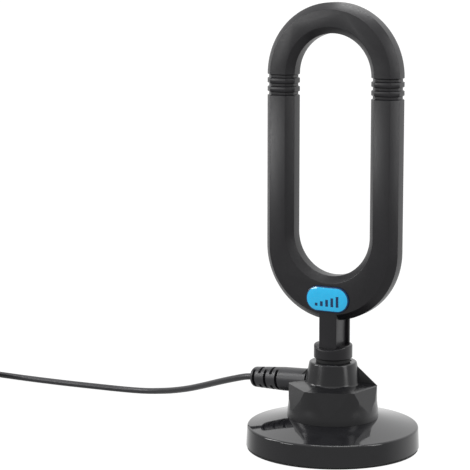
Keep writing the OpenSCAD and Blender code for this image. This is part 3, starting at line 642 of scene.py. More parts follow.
def smooth_route(points, steps):
    """Points of a smooth curve through all of the given ones."""
    made = []
    for i in range(len(points) - 1):
        a, b = points[max(i - 1, 0)], points[i]
        c, d = points[i + 1], points[min(i + 2, len(points) - 1)]
        for k in range(steps):
            t = k / steps
            made.append(
                0.5
                * (
                    2 * b
                    + (c - a) * t
                    + (2 * a - 5 * b + 4 * c - d) * t * t
                    + (3 * b - a - 3 * c + d) * t * t * t
                )
            )
    return made + [points[-1]]


def coil_route():
    """Turns beside and on each other: each sector of a turn is used by one layer's shifts."""
    shift = 75.0
    steps_per_turn = 24
    first_shift = 345.0
    start = 90.0
    leave = 180.0
    pitch = LEAD_D
    outer_r = COIL_MID_R + pitch * (COLUMNS - 1) / 2
    low_z = COIL_LIFT + pitch / 2
    moves = []
    angle = start
    for layer in range(LAYERS):
        sector = first_shift - 2 * shift * layer
        way = -pitch if layer % 2 == 0 else pitch
        for _ in range(COLUMNS - 1):
            angle += (sector - angle) % 360
            moves.append((angle, way, 0))
            angle += shift
        if layer < LAYERS - 1:
            angle += (sector - shift - angle) % 360
            moves.append((angle, 0, pitch))
            angle += shift
    end = angle + (leave - angle) % 360
    count = round((end - start) / 360 * steps_per_turn)
    made = []
    for i in range(1, count + 1):
        a = start + (end - start) * i / count
        r = outer_r + sum(dr * eased((a - at) / shift) for at, dr, dz in moves)
        z = low_z + sum(dz * eased((a - at) / shift) for at, dr, dz in moves)
        made.append(
            point_mm(COIL_X + r * math.cos(math.radians(a)), COIL_Y + r * math.sin(math.radians(a)), z)
        )
    return made


def tail_route():
    """From the coil's top outer turn forward and down to the plug's grip on the floor."""
    steps = 16
    from_r = COIL_MID_R + LEAD_D * (COLUMNS - 1) / 2
    from_z = COIL_LIFT + LEAD_D * (LAYERS - 0.5)
    made = []
    for i in range(1, steps + 1):
        t = i / steps
        drop = eased((t - TAIL_LEVEL) / (1 - TAIL_LEVEL))
        made.append(
            point_mm(
                COIL_X - from_r - TAIL_DRIFT * eased(t),
                COIL_Y - TAIL_L * t,
                from_z + (GRIP_R - from_z) * drop,
            )
        )
    return made


def free_lead():
    """The whole free lead as one round curve; returned with its length in metres."""
    points = smooth_route([LEAD_EXIT] + [Vector(p) for p in LEAD_ROUTE], 4)
    points += coil_route() + tail_route()
    curve = bpy.data.curves.new("lead", "CURVE")
    curve.dimensions = "3D"
    curve.bevel_depth = LEAD_D / 2 * MM
    curve.bevel_resolution = 4
    curve.use_fill_caps = True
    line = curve.splines.new("POLY")
    line.points.add(len(points) - 1)
    for spot, place in zip(line.points, points):
        spot.co = (*place, 1)
    curve.materials.append(pvc)
    lead = bpy.data.objects.new("lead", curve)
    bpy.context.scene.collection.objects.link(lead)
    length = sum((b - a).length for a, b in zip(points, points[1:]))
    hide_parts("cable", "cable_coil", "cable_tail")
    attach(lead, "foot")
    return lead, length


def coil_tie():
    """Nylon strap wound once round the coil's section."""
    r0 = COIL_MID_R - LEAD_D * COLUMNS / 2
    in_x = math.sqrt(r0 * r0 - TIE_W * TIE_W / 4) - 0.05
    out_x = r0 + LEAD_D * COLUMNS + 0.05
    low, high = COIL_LIFT, COIL_LIFT + LEAD_D * LAYERS + 0.05
    corner = 1.0
    centres = [
        (out_x - corner, high - corner, 0),
        (in_x + corner, high - corner, 90),
        (in_x + corner, low + corner, 180),
        (out_x - corner, low + corner, 270),
    ]
    inner = [p for cx, cz, a in centres for p in arc_points(cx, cz, corner, a, a + 90, 6)]
    outer = [p for cx, cz, a in centres for p in arc_points(cx, cz, corner + TIE_T, a, a + 90, 6)]
    shape = bmesh.new()
    rings = []
    for points, y in ((inner, -1), (outer, -1), (outer, 1), (inner, 1)):
        rings.append([shape.verts.new(point_mm(x, y * TIE_W / 2, z)) for x, z in points])
    for a, b in zip(rings, rings[1:] + rings[:1]):
        for k in range(len(a)):
            n = (k + 1) % len(a)
            shape.faces.new((a[k], a[n], b[n], b[k]))
    bmesh.ops.recalc_face_normals(shape, faces=shape.faces)
    shape.transform(
        Matrix.Translation(point_mm(COIL_X, COIL_Y, 0)) @ Matrix.Rotation(math.radians(TIE_TURN), 4, "Z")
    )
    tie = piece_of("coil_strap", shape, nylon)
    softened(tie, 0.12, 40, 2)
    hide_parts("coil_tie")
    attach(tie, "foot")
    return tie


def boxes(sizes):
    """Bmesh of separate boxes, each (x0, x1, y0, y1, z0, z1) in millimetres."""
    shape = bmesh.new()
    for x0, x1, y0, y1, z0, z1 in sizes:
        made = bmesh.ops.create_cube(shape, size=1)["verts"]
        for v in made:
            v.co = point_mm(
                x0 + (v.co.x + 0.5) * (x1 - x0),
                y0 + (v.co.y + 0.5) * (y1 - y0),
                z0 + (v.co.z + 0.5) * (z1 - z0),
            )
    return shape


def slotted_relief():
    """Moulded relief whose slots on the sides alternate with slots above and below."""
    hole_r = LEAD_D / 2 + 0.05
    round_l = 1.2
    profile = (
        [(hole_r, -RELIEF_ROOT), (RELIEF_R, -RELIEF_ROOT), (RELIEF_R, RELIEF_L * 0.35)]
        + [(RELIEF_END_R, RELIEF_L - round_l)]
        + arc_points(RELIEF_END_R - round_l, RELIEF_L - round_l, round_l, 20, 80, 3)
        + [(RELIEF_END_R - round_l, RELIEF_L), (hole_r + 0.4, RELIEF_L), (hole_r, RELIEF_L - 0.4)]
    )
    along_x = Matrix.Rotation(math.radians(90), 4, "Y")
    body = revolved(profile, 96, along_x)
    far = 9.0
    cuts = []
    for i in range(SLOTS):
        x0 = SLOT_X + i * SLOT_PITCH
        x1 = x0 + SLOT_W
        for side in (-1, 1):
            near, out = sorted((side * SPINE, side * far))
            if i % 2 == 0:
                cuts.append((x0, x1, near, out, -far, far))
            else:
                cuts.append((x0, x1, -far, far, near, out))
    relief = combined("slotted_relief", body, [("DIFFERENCE", boxes([c])) for c in cuts], pvc)
    merged(relief)
    relief.data.transform(RELIEF_FRAME)
    softened(relief, 0.18, 35, 2)
    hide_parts("strain_relief")
    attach(relief, "foot")
    return relief


def at_plug():
    """Frame of the plug: z runs out along it from the lead's end."""
    from_r = COIL_MID_R + LEAD_D * (COLUMNS - 1) / 2
    place = point_mm(COIL_X - from_r - TAIL_DRIFT, COIL_Y - TAIL_L, GRIP_R)
    return Matrix.Translation(place) @ Matrix.Rotation(math.radians(90), 4, "X")


def ribbed_grip():
    """Moulded plug grip: bend-relief neck, then a barrel with finger grooves."""
    neck_grooves = 3
    neck_pitch = 2.1
    grooves = 6
    pitch = 2.2
    lip_r = 5.45
    groove_r = 5.1
    socket_r = 4.3
    profile = [(0, 0), (2.1, 0), (2.6, 0.5), (2.75, 2.0)]
    for i in range(neck_grooves):
        z = 2.4 + i * neck_pitch
        r = 2.8 + i * 0.14
        profile += [(r, z), (r - 0.6, z + 0.15), (r - 0.6, z + 0.85), (r + 0.05, z + 1.0)]
    profile += [(3.25, 9.0), (5.0, 10.5), (lip_r, 11.2), (GRIP_R, 12.0)]
    for i in range(grooves):
        z = 14.0 + i * pitch
        profile += [(GRIP_R, z), (lip_r, z + 0.2), (groove_r, z + 0.45)]
        profile += [(groove_r, z + 0.85), (lip_r, z + 1.1), (GRIP_R, z + 1.3)]
    profile += [(GRIP_R, GRIP_L - 0.8), (GRIP_R - 0.18, GRIP_L - 0.25), (5.0, GRIP_L)]
    profile += [(socket_r, GRIP_L), (socket_r, GRIP_SOCKET_Z), (0, GRIP_SOCKET_Z)]
    grip = piece_of("ribbed_grip", revolved(profile, 96, at_plug()), pvc)
    smooth_by_angle(grip, 40)
    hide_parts("plug_grip")
    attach(grip, "foot")
    return grip


def plug_contacts():
    """Slit outer contact and rounded centre pin of the television plug."""
    end_z = GRIP_L + PLUG_L
    outer = [(4.25, GRIP_SOCKET_Z), (4.25, GRIP_L), (PLUG_R, GRIP_L), (PLUG_R, end_z - 1.8)]
    outer += [(4.62, end_z - 1.2), (4.4, end_z), (4.2, end_z)]
    outer += [(4.15, GRIP_L + 0.6), (3.65, GRIP_L + 0.6), (3.65, GRIP_SOCKET_Z)]
    far = 6.0
    slit = 0.25
    slit_z = 34.0
    slits = [(-far, far, -slit, slit, slit_z, end_z + 1), (-slit, slit, -far, far, slit_z, end_z + 1)]
    cuts = [("DIFFERENCE", boxes([s])) for s in slits]
    shell = combined("outer_contact", revolved(outer, 96), cuts, nickel)
    shell.data.transform(at_plug())
    smooth_by_angle(shell, 30)
    disc_z = 32.0
    disc = [(0.95, GRIP_SOCKET_Z), (3.6, GRIP_SOCKET_Z), (3.6, disc_z - 0.2), (3.4, disc_z), (0.95, disc_z)]
    insulation = piece_of("plug_disc", revolved(disc, 64, at_plug()), polythene)
    smooth_by_angle(insulation, 40)
    tip_r = 0.8
    tip_z = GRIP_L + PIN_TIP
    pin_profile = [(0, 24), (0.9, 24), (0.9, disc_z), (PIN_R, disc_z)]
    pin_profile += arc_points(PIN_R - tip_r, tip_z - tip_r, tip_r, 0, 90, 6) + [(0, tip_z)]
    pin = piece_of("centre_pin", revolved(pin_profile, 48, at_plug()), nickel)
    smooth_by_angle(pin, 40)
    for piece, node_name, slot_name in (
        (shell, "plug_shell", "plug_metal"),
        (insulation, "plug_insulator", "insulator_white"),
        (pin, "plug_pin", "plug_metal"),
    ):
        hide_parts(node_name)
        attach(piece, "foot")
    return [shell, insulation, pin]


lead, lead_length = free_lead()
on_lead = [slotted_relief(), nodes["inner_lead"], nodes["crimp_ferrule"], coil_tie(), ribbed_grip()]
on_lead += plug_contacts()


# Foot


def glossy_foot():
    """Foot cover: draughted side, rolled rim, shallow dome, flat seat and hollow underside."""
    wall = 2.0
    dome_foot_r = RIM_EDGE_R - RIM_R
    rim = arc_points(dome_foot_r, RIM_Z - RIM_R, RIM_R, 0, 84, 9)
    seat_r = FLANGE_R + 0.6
    inner_r = RIM_EDGE_R - wall
    profile = (
        [(0, DOME_Z), (0, DOME_Z - wall), (FLANGE_R - 1, DOME_Z - wall)]
        + [(dome_foot_r - wall, RIM_Z - wall), (inner_r, RIM_Z - wall - 1), (inner_r, PAD_T)]
        + [(FOOT_R - 0.3, PAD_T), (FOOT_R, PAD_T + 0.3)]
        + rim
    )
    dome_steps = 12
    dome_z = DOME_Z - (DOME_Z - RIM_Z) * (seat_r - FLANGE_R) / (dome_foot_r - FLANGE_R)
    for i in range(1, dome_steps + 1):
        t = i / dome_steps
        profile.append((dome_foot_r + (seat_r - dome_foot_r) * t, RIM_Z + (dome_z - RIM_Z) * t))
    profile.append((FLANGE_R - 0.2, DOME_Z))
    foot = piece_of("glossy_foot", revolved(profile, 256), polished)
    smooth_by_angle(foot, 32)
    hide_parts("foot_cover")
    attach(foot, "foot")


def amplifier_housing():
    """Housing: six leaning flats, low front roof, hipped crown behind and the flared cone."""
    taper_z = FLANGE_TOP_Z - 2.6
    taper_h = 5.6
    spans = 8
    taper = [
        (BODY_R + (FLANGE_R - BODY_R) * (1 - eased(i / spans)), taper_z + taper_h * i / spans)
        for i in range(spans + 1)
    ]
    body = [(0, DOME_Z), (FLANGE_R, DOME_Z)] + taper + [(BODY_R, CONE_Z), (0, CONE_Z)]
    low = revolved(body, 256)
    for i in range(6):
        sliced(low, HEX_TURN + FACET * i, FLAT_R, FLAT_Z, 90 - FLAT_LEAN)
    for i in range(6):
        sliced(low, HEX_TURN + FACET * i, FLAT_R, FLAT_Z, FRONT_SLOPE)
    crown = revolved(body, 256)
    for i in (1, 2, 3):
        sliced(crown, HEX_TURN + FACET * i, FLAT_R, FLAT_Z, 90 - FLAT_LEAN)
    for i in (1, 2, 3):
        sliced(crown, HEX_TURN + FACET * i, FLAT_R, FLAT_Z - CROWN_DROP, CROWN_SLOPE)
    right_turn = HEX_TURN + FACET / 2
    for turn in (right_turn, right_turn - CROWN_END_TURN):
        sliced(crown, turn - 90, 0, 0, 90)
    sunk = 0.55
    foot_z = FLAT_Z + (FLAT_R - CONE_FOOT_R) * math.tan(math.radians(FRONT_SLOPE)) - sunk
    flare_r = 1.6
    rim_r = 0.9
    inside_z = 27.0
    flare = [
        (
            CONE_FOOT_R + flare_r * (1 - math.cos(math.radians(a))),
            foot_z + flare_r * (1 - math.sin(math.radians(a))),
        )
        for a in range(0, 64, 9)
    ]
    cone_profile = (
        [(0, inside_z), (0, CONE_Z), (CONE_TOP_R - rim_r, CONE_Z)]
        + arc_points(CONE_TOP_R - rim_r, CONE_Z - rim_r, rim_r, 80, 10, 6)
        + flare
        + [(flare[-1][0], inside_z)]
    )
    cone = revolved(cone_profile, 192)
    below, above = DOME_Z - 0.9, CONE_Z + 1.4
    room_r, room_z = 14.9, 26.0
    boss_r, boss_z = 8.4, 34.1
    seat_r = 8.1
    cavity = revolved(
        [(0, below), (room_r, below), (room_r, room_z), (boss_r, room_z), (boss_r, boss_z)]
        + [(STEM_HOLE_R, boss_z), (STEM_HOLE_R, RING_SEAT_Z), (seat_r, RING_SEAT_Z)]
        + [(seat_r, above), (0, above)],
        96,
    )
    steps = [("UNION", crown), ("UNION", cone), ("DIFFERENCE", cavity)]
    housing = combined("amplifier_housing", low, steps, satin)
    merged(housing)
    softened(housing, 0.4)
    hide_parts("housing")
    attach(housing, "foot")


def friction_ring():
    """Rubber ring in the cone's recess, with its upper edges broken."""
    edge = 0.15
    drop = 0.22
    profile = [(RING_BORE_R, RING_SEAT_Z), (RING_R, RING_SEAT_Z), (RING_R, RING_TOP_Z - drop)]
    profile += [(RING_R - edge, RING_TOP_Z), (RING_BORE_R + edge, RING_TOP_Z)]
    profile += [(RING_BORE_R, RING_TOP_Z - drop)]
    ring = piece_of("rubber_ring", revolved(profile, 128), rubber)
    smooth_by_angle(ring, 50)
    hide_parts("friction_ring")
    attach(ring, "foot")


glossy_foot()
amplifier_housing()
friction_ring()


# Collar and loop

# Turns a piece's own z to run out of the loop's back
TO_BACK = Matrix.Rotation(math.radians(-90), 4, "X")


def screw_recess(face_y, deep, x, z):
    """Round pocket for a screw's head, cut into a face on the back."""
    seat_y = face_y - deep
    over_y = face_y + 1
    pocket = [(0, seat_y), (SCREW_RECESS_R, seat_y), (SCREW_RECESS_R, over_y), (0, over_y)]
    return revolved(pocket, 40, Matrix.Translation(point_mm(x, 0, z)) @ TO_BACK)


def moulded_collar():
    """Collar with its stem and its screw's recess; its top edge dips in front of the neck."""
    edge = 0.7
    foot_edge = 0.35
    clip_r = STEM_R - CLIP_DEPTH
    clip_top = CLIP_Z + CLIP_W
    profile = (
        [(STEM_BORE_R, STEM_FOOT_Z), (STEM_R, STEM_FOOT_Z), (STEM_R, CLIP_Z), (clip_r, CLIP_Z)]
        + [(clip_r, clip_top), (STEM_R, clip_top), (STEM_R, COLLAR_Z)]
        + [(COLLAR_R - foot_edge, COLLAR_Z), (COLLAR_R, COLLAR_Z + foot_edge)]
        + [(COLLAR_R, COLLAR_Z + 1.5), (COLLAR_R, COLLAR_Z + 3.0), (COLLAR_R, COLLAR_Z + 4.2)]
        + arc_points(COLLAR_R - edge, COLLAR_TOP - edge, edge, 0, 90, 6)
        + [(6.6, COLLAR_TOP - 0.15), (5.4, COLLAR_TOP - 0.5), (STEM_BORE_R, COLLAR_TOP - 0.5)]
    )
    shape = revolved(profile, 160)
    level_z = COLLAR_Z + 1
    for v in shape.verts:
        z = v.co.z / MM
        r = math.hypot(v.co.x, v.co.y)
        if z > level_z and r > 0:
            front = max(-v.co.y / r, 0) ** 2
            v.co.z -= COLLAR_DIP * MM * eased(front) * (z - level_z) / (COLLAR_TOP - level_z)
    recess = screw_recess(COLLAR_R, NECK_SCREW_RECESS, 0, COLLAR_TOP - NECK_SCREW_DOWN)
    collar = combined("moulded_collar", shape, [("DIFFERENCE", recess)], eroded)
    smooth_by_angle(collar, 35)
    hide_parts("collar")
    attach(collar, "loop")


BEVEL_L = math.hypot(BEVEL_W, BEVEL_T)


def side_corners(inset):
    """Corners of one side of the limb's section: (distance from the wall, depth) at an inset."""
    half = LOOP_T / 2 - inset
    wide = BEVEL_W - inset * (1 - (BEVEL_L - BEVEL_W) / BEVEL_T)
    deep = BEVEL_T - inset * (1 - (BEVEL_L - BEVEL_T) / BEVEL_W)
    return [(inset + wide, -half), (inset, -half + deep), (inset, half - deep), (inset + wide, half)]


def rounded_corner(before, at, after, radius, spans=3):
    """Arc of the given radius in place of one corner of an outline."""
    u = (before - at).normalized()
    v = (after - at).normalized()
    half = u.angle(v) / 2
    centre = at + (u + v).normalized() * (radius / math.sin(half))
    start = at + u * (radius / math.tan(half)) - centre
    end = at + v * (radius / math.tan(half)) - centre
    return [centre + start.lerp(end, k / spans).normalized() * radius for k in range(spans + 1)]


def rounded_side(inset, radius):
    """The side's four corners, each rounded."""
    corners = [Vector(c) for c in side_corners(inset)]
    ahead = Vector((1, 0))
    run = [corners[0] + ahead] + corners + [corners[-1] + ahead]
    return [p for three in zip(run, run[1:], run[2:]) for p in rounded_corner(*three, radius)]


def groove_heights():
    """Heights and insets down one limb: rounded lips and flat groove floors."""
    lip = [(-0.22, 0.0), (-0.1, 0.06), (0.0, 0.22), (0.12, 0.5), (0.28, GROOVE_DEPTH)]
    made = []
    for i in range(GROOVES):
        top = GROOVE_TOP_Z - i * GROOVE_PITCH
        made += [(top - down, depth) for down, depth in lip]
        made += [(top - GROOVE_W + down, depth) for down, depth in reversed(lip)]
    return [(z, depth) for z, depth in made if z < HIGH_Z]


def stations(grooved):
    """Stations round the loop: (outer centre's height, inner centre's height, angle, inset)."""
    arc_steps = 56
    plain_steps = 8
    plain_top = HIGH_Z - 14
    sides = groove_heights() if grooved else [(HIGH_Z - 5, 0.0)]
    for i in range(plain_steps):
        sides.append((plain_top - (plain_top - LOW_INNER_Z) * i / plain_steps, 0.0))
    arc = [math.pi * i / arc_steps for i in range(arc_steps + 1)]
    made = [(HIGH_Z, HIGH_Z, a, 0.0) for a in arc]
    made += [(z, z, math.pi, depth) for z, depth in sides]
    made += [(LOW_OUTER_Z, LOW_INNER_Z, a + math.pi, 0.0) for a in arc]
    made += [(z, z, 0.0, depth) for z, depth in reversed(sides)]
    return made


def ring_body(inset, radius, grooved):
    """Closed skin of the whole loop, moved inwards by the inset."""
    shape = bmesh.new()
    rings = []
    for outer_z, inner_z, angle, groove in stations(grooved):
        side = rounded_side(inset + groove, radius)
        out = [(HALF_W - away, depth, outer_z) for away, depth in side]
        back = [(HALF_OPEN + away, depth, inner_z) for away, depth in reversed(side)]
        rings.append(
            [
                shape.verts.new(point_mm(r * math.cos(angle), depth, z + r * math.sin(angle)))
                for r, depth, z in out + back
            ]
        )
    for a, b in zip(rings, rings[1:] + rings[:1]):
        for k in range(len(a)):
            n = (k + 1) % len(a)
            shape.faces.new((a[k], b[k], b[n], a[n]))
    bmesh.ops.recalc_face_normals(shape, faces=shape.faces)
    return shape


def prism(outline, low, high, place=None):
    """Upright prism of a closed (x, y) outline in millimetres."""
    shape = bmesh.new()
    rings = [[shape.verts.new(point_mm(x, y, z)) for x, y in outline] for z in (low, high)]
    count = len(outline)
    for k in range(count):
        n = (k + 1) % count
        shape.faces.new((rings[0][k], rings[0][n], rings[1][n], rings[1][k]))
    shape.faces.new(rings[0])
    shape.faces.new(rings[1])
    bmesh.ops.recalc_face_normals(shape, faces=shape.faces)
    if place is not None:
        shape.transform(place)
    return shape


def rounded_rectangle(x0, x1, y0, y1, r):
    """Outline with four rounded corners."""
    corners = [(x1 - r, y1 - r, 0), (x0 + r, y1 - r, 90), (x0 + r, y0 + r, 180), (x1 - r, y0 + r, 270)]
    return [p for cx, cy, a in corners for p in arc_points(cx, cy, r, a, a + 90, 4)]


def capsule(grow):
    """Badge outline, grown by a distance."""
    r = BADGE_H / 2 + grow
    flat = (BADGE_W - BADGE_H) / 2
    return arc_points(flat, 0, r, -90, 90, 24) + arc_points(-flat, 0, r, 90, 270, 24)


def screw_spots():
    """Places (x, z) of the loop's screws: one on top, two on each limb, two on the lower bend."""
    straight = HIGH_Z - LOW_OUTER_Z
    shift = LOW_INNER_Z - LOW_OUTER_Z
    turn = math.radians(45)
    limb_r = (HALF_W + HALF_OPEN) / 2
    bend_r = (HALF_W + HALF_OPEN + shift * math.cos(turn)) / 2
    high = HIGH_Z - 0.3 * straight
    low = LOW_INNER_Z + 0.12 * straight
    bend = LOW_OUTER_Z - bend_r * math.cos(turn) + shift / 2
    spots = [(0, HIGH_Z + limb_r)]
    for x, z in ((limb_r, high), (limb_r, low), (bend_r * math.sin(turn), bend)):
        spots += [(-x, z), (x, z)]
    return spots


def shell_half(name, y0, y1, extra):
    """One shell of the loop between two depths, with its neck, less what is cut from it."""
    far = 300
    outer_edge, inner_edge = 0.22, 0.1
    slab = boxes([(-far, far, y0, y1, 0, far)])
    steps = [("DIFFERENCE", ring_body(WALL, inner_edge, False)), ("INTERSECT", slab)] + extra
    piece = combined(name, ring_body(0, outer_edge, True), steps, eroded)
    merged(piece, 0.001, 0.05)
    smooth_by_angle(piece, 28)
    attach(piece, "loop")
    return piece


def loop_shells():
    """Front shell with the neck and the badge's seat, back shell with the lid and its pockets."""
    half_t = LOOP_T / 2
    far_y = 9
    lid_y = half_t - LID_T
    seam = 0.05
    gap = 0.02
    low_z = COLLAR_TOP - NECK_SINK
    neck_outline = rounded_rectangle(-NECK_HALF, NECK_HALF, -half_t, lid_y - gap, 0.4)
    neck = prism(neck_outline, low_z, NECK_TOP_Z)
    at_badge = Matrix.Translation(point_mm(0, 0, BADGE_Z)) @ TO_BACK
    seat = prism(capsule(0.15), -half_t - 1, -half_t + BADGE_RECESS, at_badge)
    extra = [("UNION", neck), ("DIFFERENCE", seat)]
    front = shell_half("loop_front_shell", -far_y, PARTING_Y - seam, extra)
    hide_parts("loop_front")
    lid_outline = rounded_rectangle(-NECK_LID_HALF, NECK_LID_HALF, lid_y + gap, half_t, 0.35)
    lid = prism(lid_outline, low_z, LID_TOP_Z)
    pockets = [("DIFFERENCE", screw_recess(half_t, SCREW_RECESS, x, z)) for x, z in screw_spots()]
    back = shell_half("loop_back_shell", PARTING_Y + seam, far_y, [("UNION", lid)] + pockets)
    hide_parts("loop_back")


def dome_height(x, z):
    """How far the badge stands out of the loop's face at a place on it."""
    flat = (BADGE_W - BADGE_H) / 2
    away = math.hypot(max(abs(x) - flat, 0), z) / (BADGE_H / 2)
    return BADGE_EDGE + (BADGE_DOME - BADGE_EDGE) * math.sqrt(max(1 - away * away, 0))


def domed_badge():
    """Clear resin dome over a blue label with a dark printed border."""
    face_y = -LOOP_T / 2
    spans = 10
    border_spans = 4
    levels = [(-0.05, face_y + BADGE_RECESS), (0, face_y - 0.2)]
    for i in range(1, spans + 1):
        a = math.radians(90 * (1 - i / (spans + 0.5)))
        grow = BADGE_H / 2 * (math.sin(a) - 1)
        levels.append((grow, face_y - BADGE_EDGE - (BADGE_DOME - BADGE_EDGE) * math.cos(a)))
    shape = bmesh.new()
    rings = [
        [shape.verts.new(point_mm(x, y, BADGE_Z + z)) for x, z in capsule(grow)] for grow, y in levels
    ]
    for i, (a, b) in enumerate(zip(rings, rings[1:])):
        for k in range(len(a)):
            n = (k + 1) % len(a)
            face = shape.faces.new((a[k], a[n], b[n], b[k]))
            face.material_index = 1 if i < border_spans else 0
    shape.faces.new(rings[0])
    shape.faces.new(rings[-1])
    bmesh.ops.recalc_face_normals(shape, faces=shape.faces)
    badge = piece_of("domed_badge", shape, resin)
    badge.data.materials.append(ink)
    smooth_by_angle(badge, 40)
    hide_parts("badge")
    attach(badge, "loop")


def strength_mark():
    """Generic mark of five rising bars, printed on the dome."""
    bars = 5
    bar_w = 1.25
    pitch = 2.5
    rise, sunk = 0.03, 0.1
    foot_z = -3.1
    shortest, step_up = 1.3, 0.85
    spans = 6
    shape = bmesh.new()
    for i in range(bars):
        x0 = (i - (bars - 1) / 2) * pitch - bar_w / 2
        tall = shortest + step_up * i
        grid = []
        for k in range(spans + 1):
            z = foot_z + tall * k / spans
            row = []
            for x in (x0, x0 + bar_w / 2, x0 + bar_w):
                y = -LOOP_T / 2 - dome_height(x, z)
                row.append([shape.verts.new(point_mm(x, y + d, BADGE_Z + z)) for d in (-rise, sunk)])
            grid.append(row)
        for low, high in zip(grid, grid[1:]):
            for j in range(2):
                for skin in (0, 1):
                    shape.faces.new((low[j][skin], low[j + 1][skin], high[j + 1][skin], high[j][skin]))
        rim = [grid[k][0] for k in range(spans + 1)] + [grid[spans][1], grid[spans][2]]
        rim += [grid[k][2] for k in range(spans - 1, -1, -1)] + [grid[0][1]]
        for a, b in zip(rim, rim[1:] + rim[:1]):
            shape.faces.new((a[0], b[0], b[1], a[1]))
    bmesh.ops.recalc_face_normals(shape, faces=shape.faces)
    mark = piece_of("strength_mark", shape, ink)
    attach(mark, "loop")


def shell_screw():
    """Pan-headed screw with a cross recess, its seat at z 0 and its head above."""
    head_h = 1.1
    shank_r = 1.0
    shank_l = 6.0
    profile = [(0, -shank_l), (0.55, -shank_l), (shank_r, -shank_l + 1.4), (shank_r, 0)]
    profile += [(1.75, 0), (SCREW_HEAD_R, 0.15), (SCREW_HEAD_R, 0.5)]
    profile += [(1.8, 0.78), (1.5, 0.98), (1.0, head_h), (0, head_h)]
    arm = 1.15
    slot = 0.2
    cross = [(-arm, arm, -slot, slot, 0.5, 2), (-slot, slot, -arm, arm, 0.5, 2)]
    screw = combined(
        "shell_screw",
        revolved(profile, 40),
        [("DIFFERENCE", boxes(cross[:1])), ("DIFFERENCE", boxes(cross[1:]))],
        zinc,
    )
    smooth_by_angle(screw, 40)
    return screw


def repeat_tree(name, material):
    """Node tree that sets one piece on every point, turned alike, as one real mesh."""
    tree = bpy.data.node_groups.new(name, "GeometryNodeTree")
    for label, side, kind in (
        ("Geometry", "INPUT", "NodeSocketGeometry"),
        ("Piece", "INPUT", "NodeSocketObject"),
        ("Turn", "INPUT", "NodeSocketVector"),
        ("Geometry", "OUTPUT", "NodeSocketGeometry"),
    ):
        tree.interface.new_socket(label, in_out=side, socket_type=kind)
    given = tree.nodes.new("NodeGroupInput")
    piece = node(tree, "GeometryNodeObjectInfo", {"Object": given.outputs["Piece"]})
    spread = node(
        tree,
        "GeometryNodeInstanceOnPoints",
        {
            "Points": given.outputs["Geometry"],
            "Instance": piece.outputs["Geometry"],
            "Rotation": given.outputs["Turn"],
        },
    )
    real = node(tree, "GeometryNodeRealizeInstances", {"Geometry": spread.outputs["Instances"]})
    dressed = node(
        tree, "GeometryNodeSetMaterial", {"Geometry": real.outputs["Geometry"], "Material": material}
    )
    result = tree.nodes.new("NodeGroupOutput")
    tree.links.new(dressed.outputs["Geometry"], result.inputs["Geometry"])
    return tree


def repeated(name, source, spots, turn, material):
    """The source piece at every spot, as one piece made by the node tree."""
    points = bpy.data.meshes.new(name)
    points.from_pydata(spots, [], [])
    made = bpy.data.objects.new(name, points)
    bpy.context.scene.collection.objects.link(made)
    tree = repeat_tree(name + "_tree", material)
    step = made.modifiers.new("repeat", "NODES")
    step.node_group = tree
    sockets = {s.name: s.identifier for s in tree.interface.items_tree if s.in_out == "INPUT"}
    step[sockets["Piece"]] = source
    step[sockets["Turn"]] = turn
    settled(made)
    bpy.data.objects.remove(source)
    return made


def loop_screws():
    """The seven screws in the back shell's pockets."""
    spots = [point_mm(x, LOOP_T / 2 - SCREW_RECESS, z) for x, z in screw_spots()]
    screws = repeated("shell_screws", shell_screw(), spots, (math.radians(-90), 0, 0), zinc)
    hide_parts("loop_screws")
    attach(screws, "loop")


moulded_collar()
loop_shells()
domed_badge()
strength_mark()
loop_screws()


# Floor and light


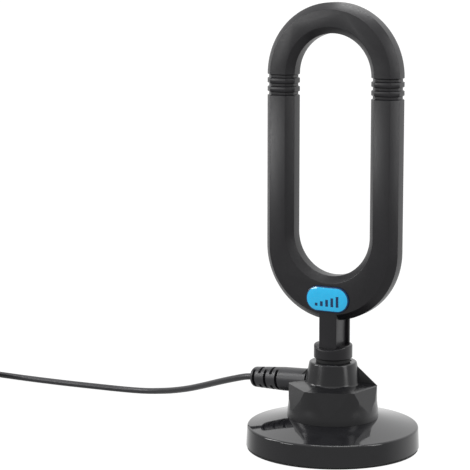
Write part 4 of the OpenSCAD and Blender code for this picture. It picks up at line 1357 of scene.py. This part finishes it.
def studio_air(front, above, below):
    """World light by direction: full behind, dimmer in front and at the sides, more overhead."""
    behind = 1.05
    ground_behind = 0.95
    world = bpy.data.worlds.new("studio_air")
    world.use_nodes = True
    tree = world.node_tree
    toward = node(tree, "ShaderNodeTexCoord")
    part = node(tree, "ShaderNodeSeparateXYZ", {"Vector": toward.outputs["Generated"]})
    y, z = part.outputs["Y"], part.outputs["Z"]
    level = ramp(tree, y, 0.0, 0.85, front, behind)
    overhead = ramp(tree, z, 0.2, 0.95, 0.0, above)
    ground = ramp(tree, y, -0.3, 0.5, below, ground_behind, "LINEAR")
    underfoot = ramp(tree, z, -0.3, 0.0, ground, 1.0)
    both = node(tree, "ShaderNodeMath", {0: level, 1: overhead}, operation="ADD")
    strength = node(
        tree, "ShaderNodeMath", {0: both.outputs["Value"], 1: underfoot}, operation="MULTIPLY"
    )
    air = tree.nodes["Background"]
    tree.links.new(strength.outputs["Value"], air.inputs["Strength"])
    air.inputs["Color"].default_value = (1, 1, 1, 1)
    bpy.context.scene.world = world


def studio_floor():
    """Shadowless white floor; it lights nothing itself, the air below it does."""
    shape = bmesh.new()
    bmesh.ops.create_grid(shape, x_segments=1, y_segments=1, size=30.0)
    look, _, shader = new_material("studio_floor", Roughness=0.9)
    shader.inputs["Base Color"].default_value = (0, 0, 0, 1)
    shader.inputs["Emission Color"].default_value = (1, 1, 1, 1)
    shader.inputs["Emission Strength"].default_value = 1.0
    floor = piece_of("studio_floor", shape, look)
    floor.visible_diffuse = False
    floor.visible_glossy = False


def soft_light(name, place_mm, aim_mm, size_mm, watts):
    """Rectangular soft light aimed at a place, in millimetres."""
    data = bpy.data.lights.new(name, "AREA")
    data.shape = "RECTANGLE"
    data.size = size_mm[0] * MM
    data.size_y = size_mm[1] * MM
    data.energy = watts
    light = bpy.data.objects.new(name, data)
    place = point_mm(*place_mm)
    light.location = place
    light.rotation_euler = (point_mm(*aim_mm) - place).to_track_quat("-Z", "Y").to_euler()
    bpy.context.scene.collection.objects.link(light)


studio_floor()
studio_air(front=0.52, above=0.5, below=1.0)
soft_light("top_light", (0, 100, 900), (0, 0, 100), (500, 260), 3.5)
soft_light("left_light", (-700, -250, 420), (0, 0, 60), (160, 500), 2)
soft_light("right_light", (700, -50, 380), (0, 0, 60), (200, 600), 1.5)
soft_light("front_light", (-560, -720, 300), (0, 0, 60), (300, 200), 1.6)
bpy.context.scene.view_settings.view_transform = "Standard"
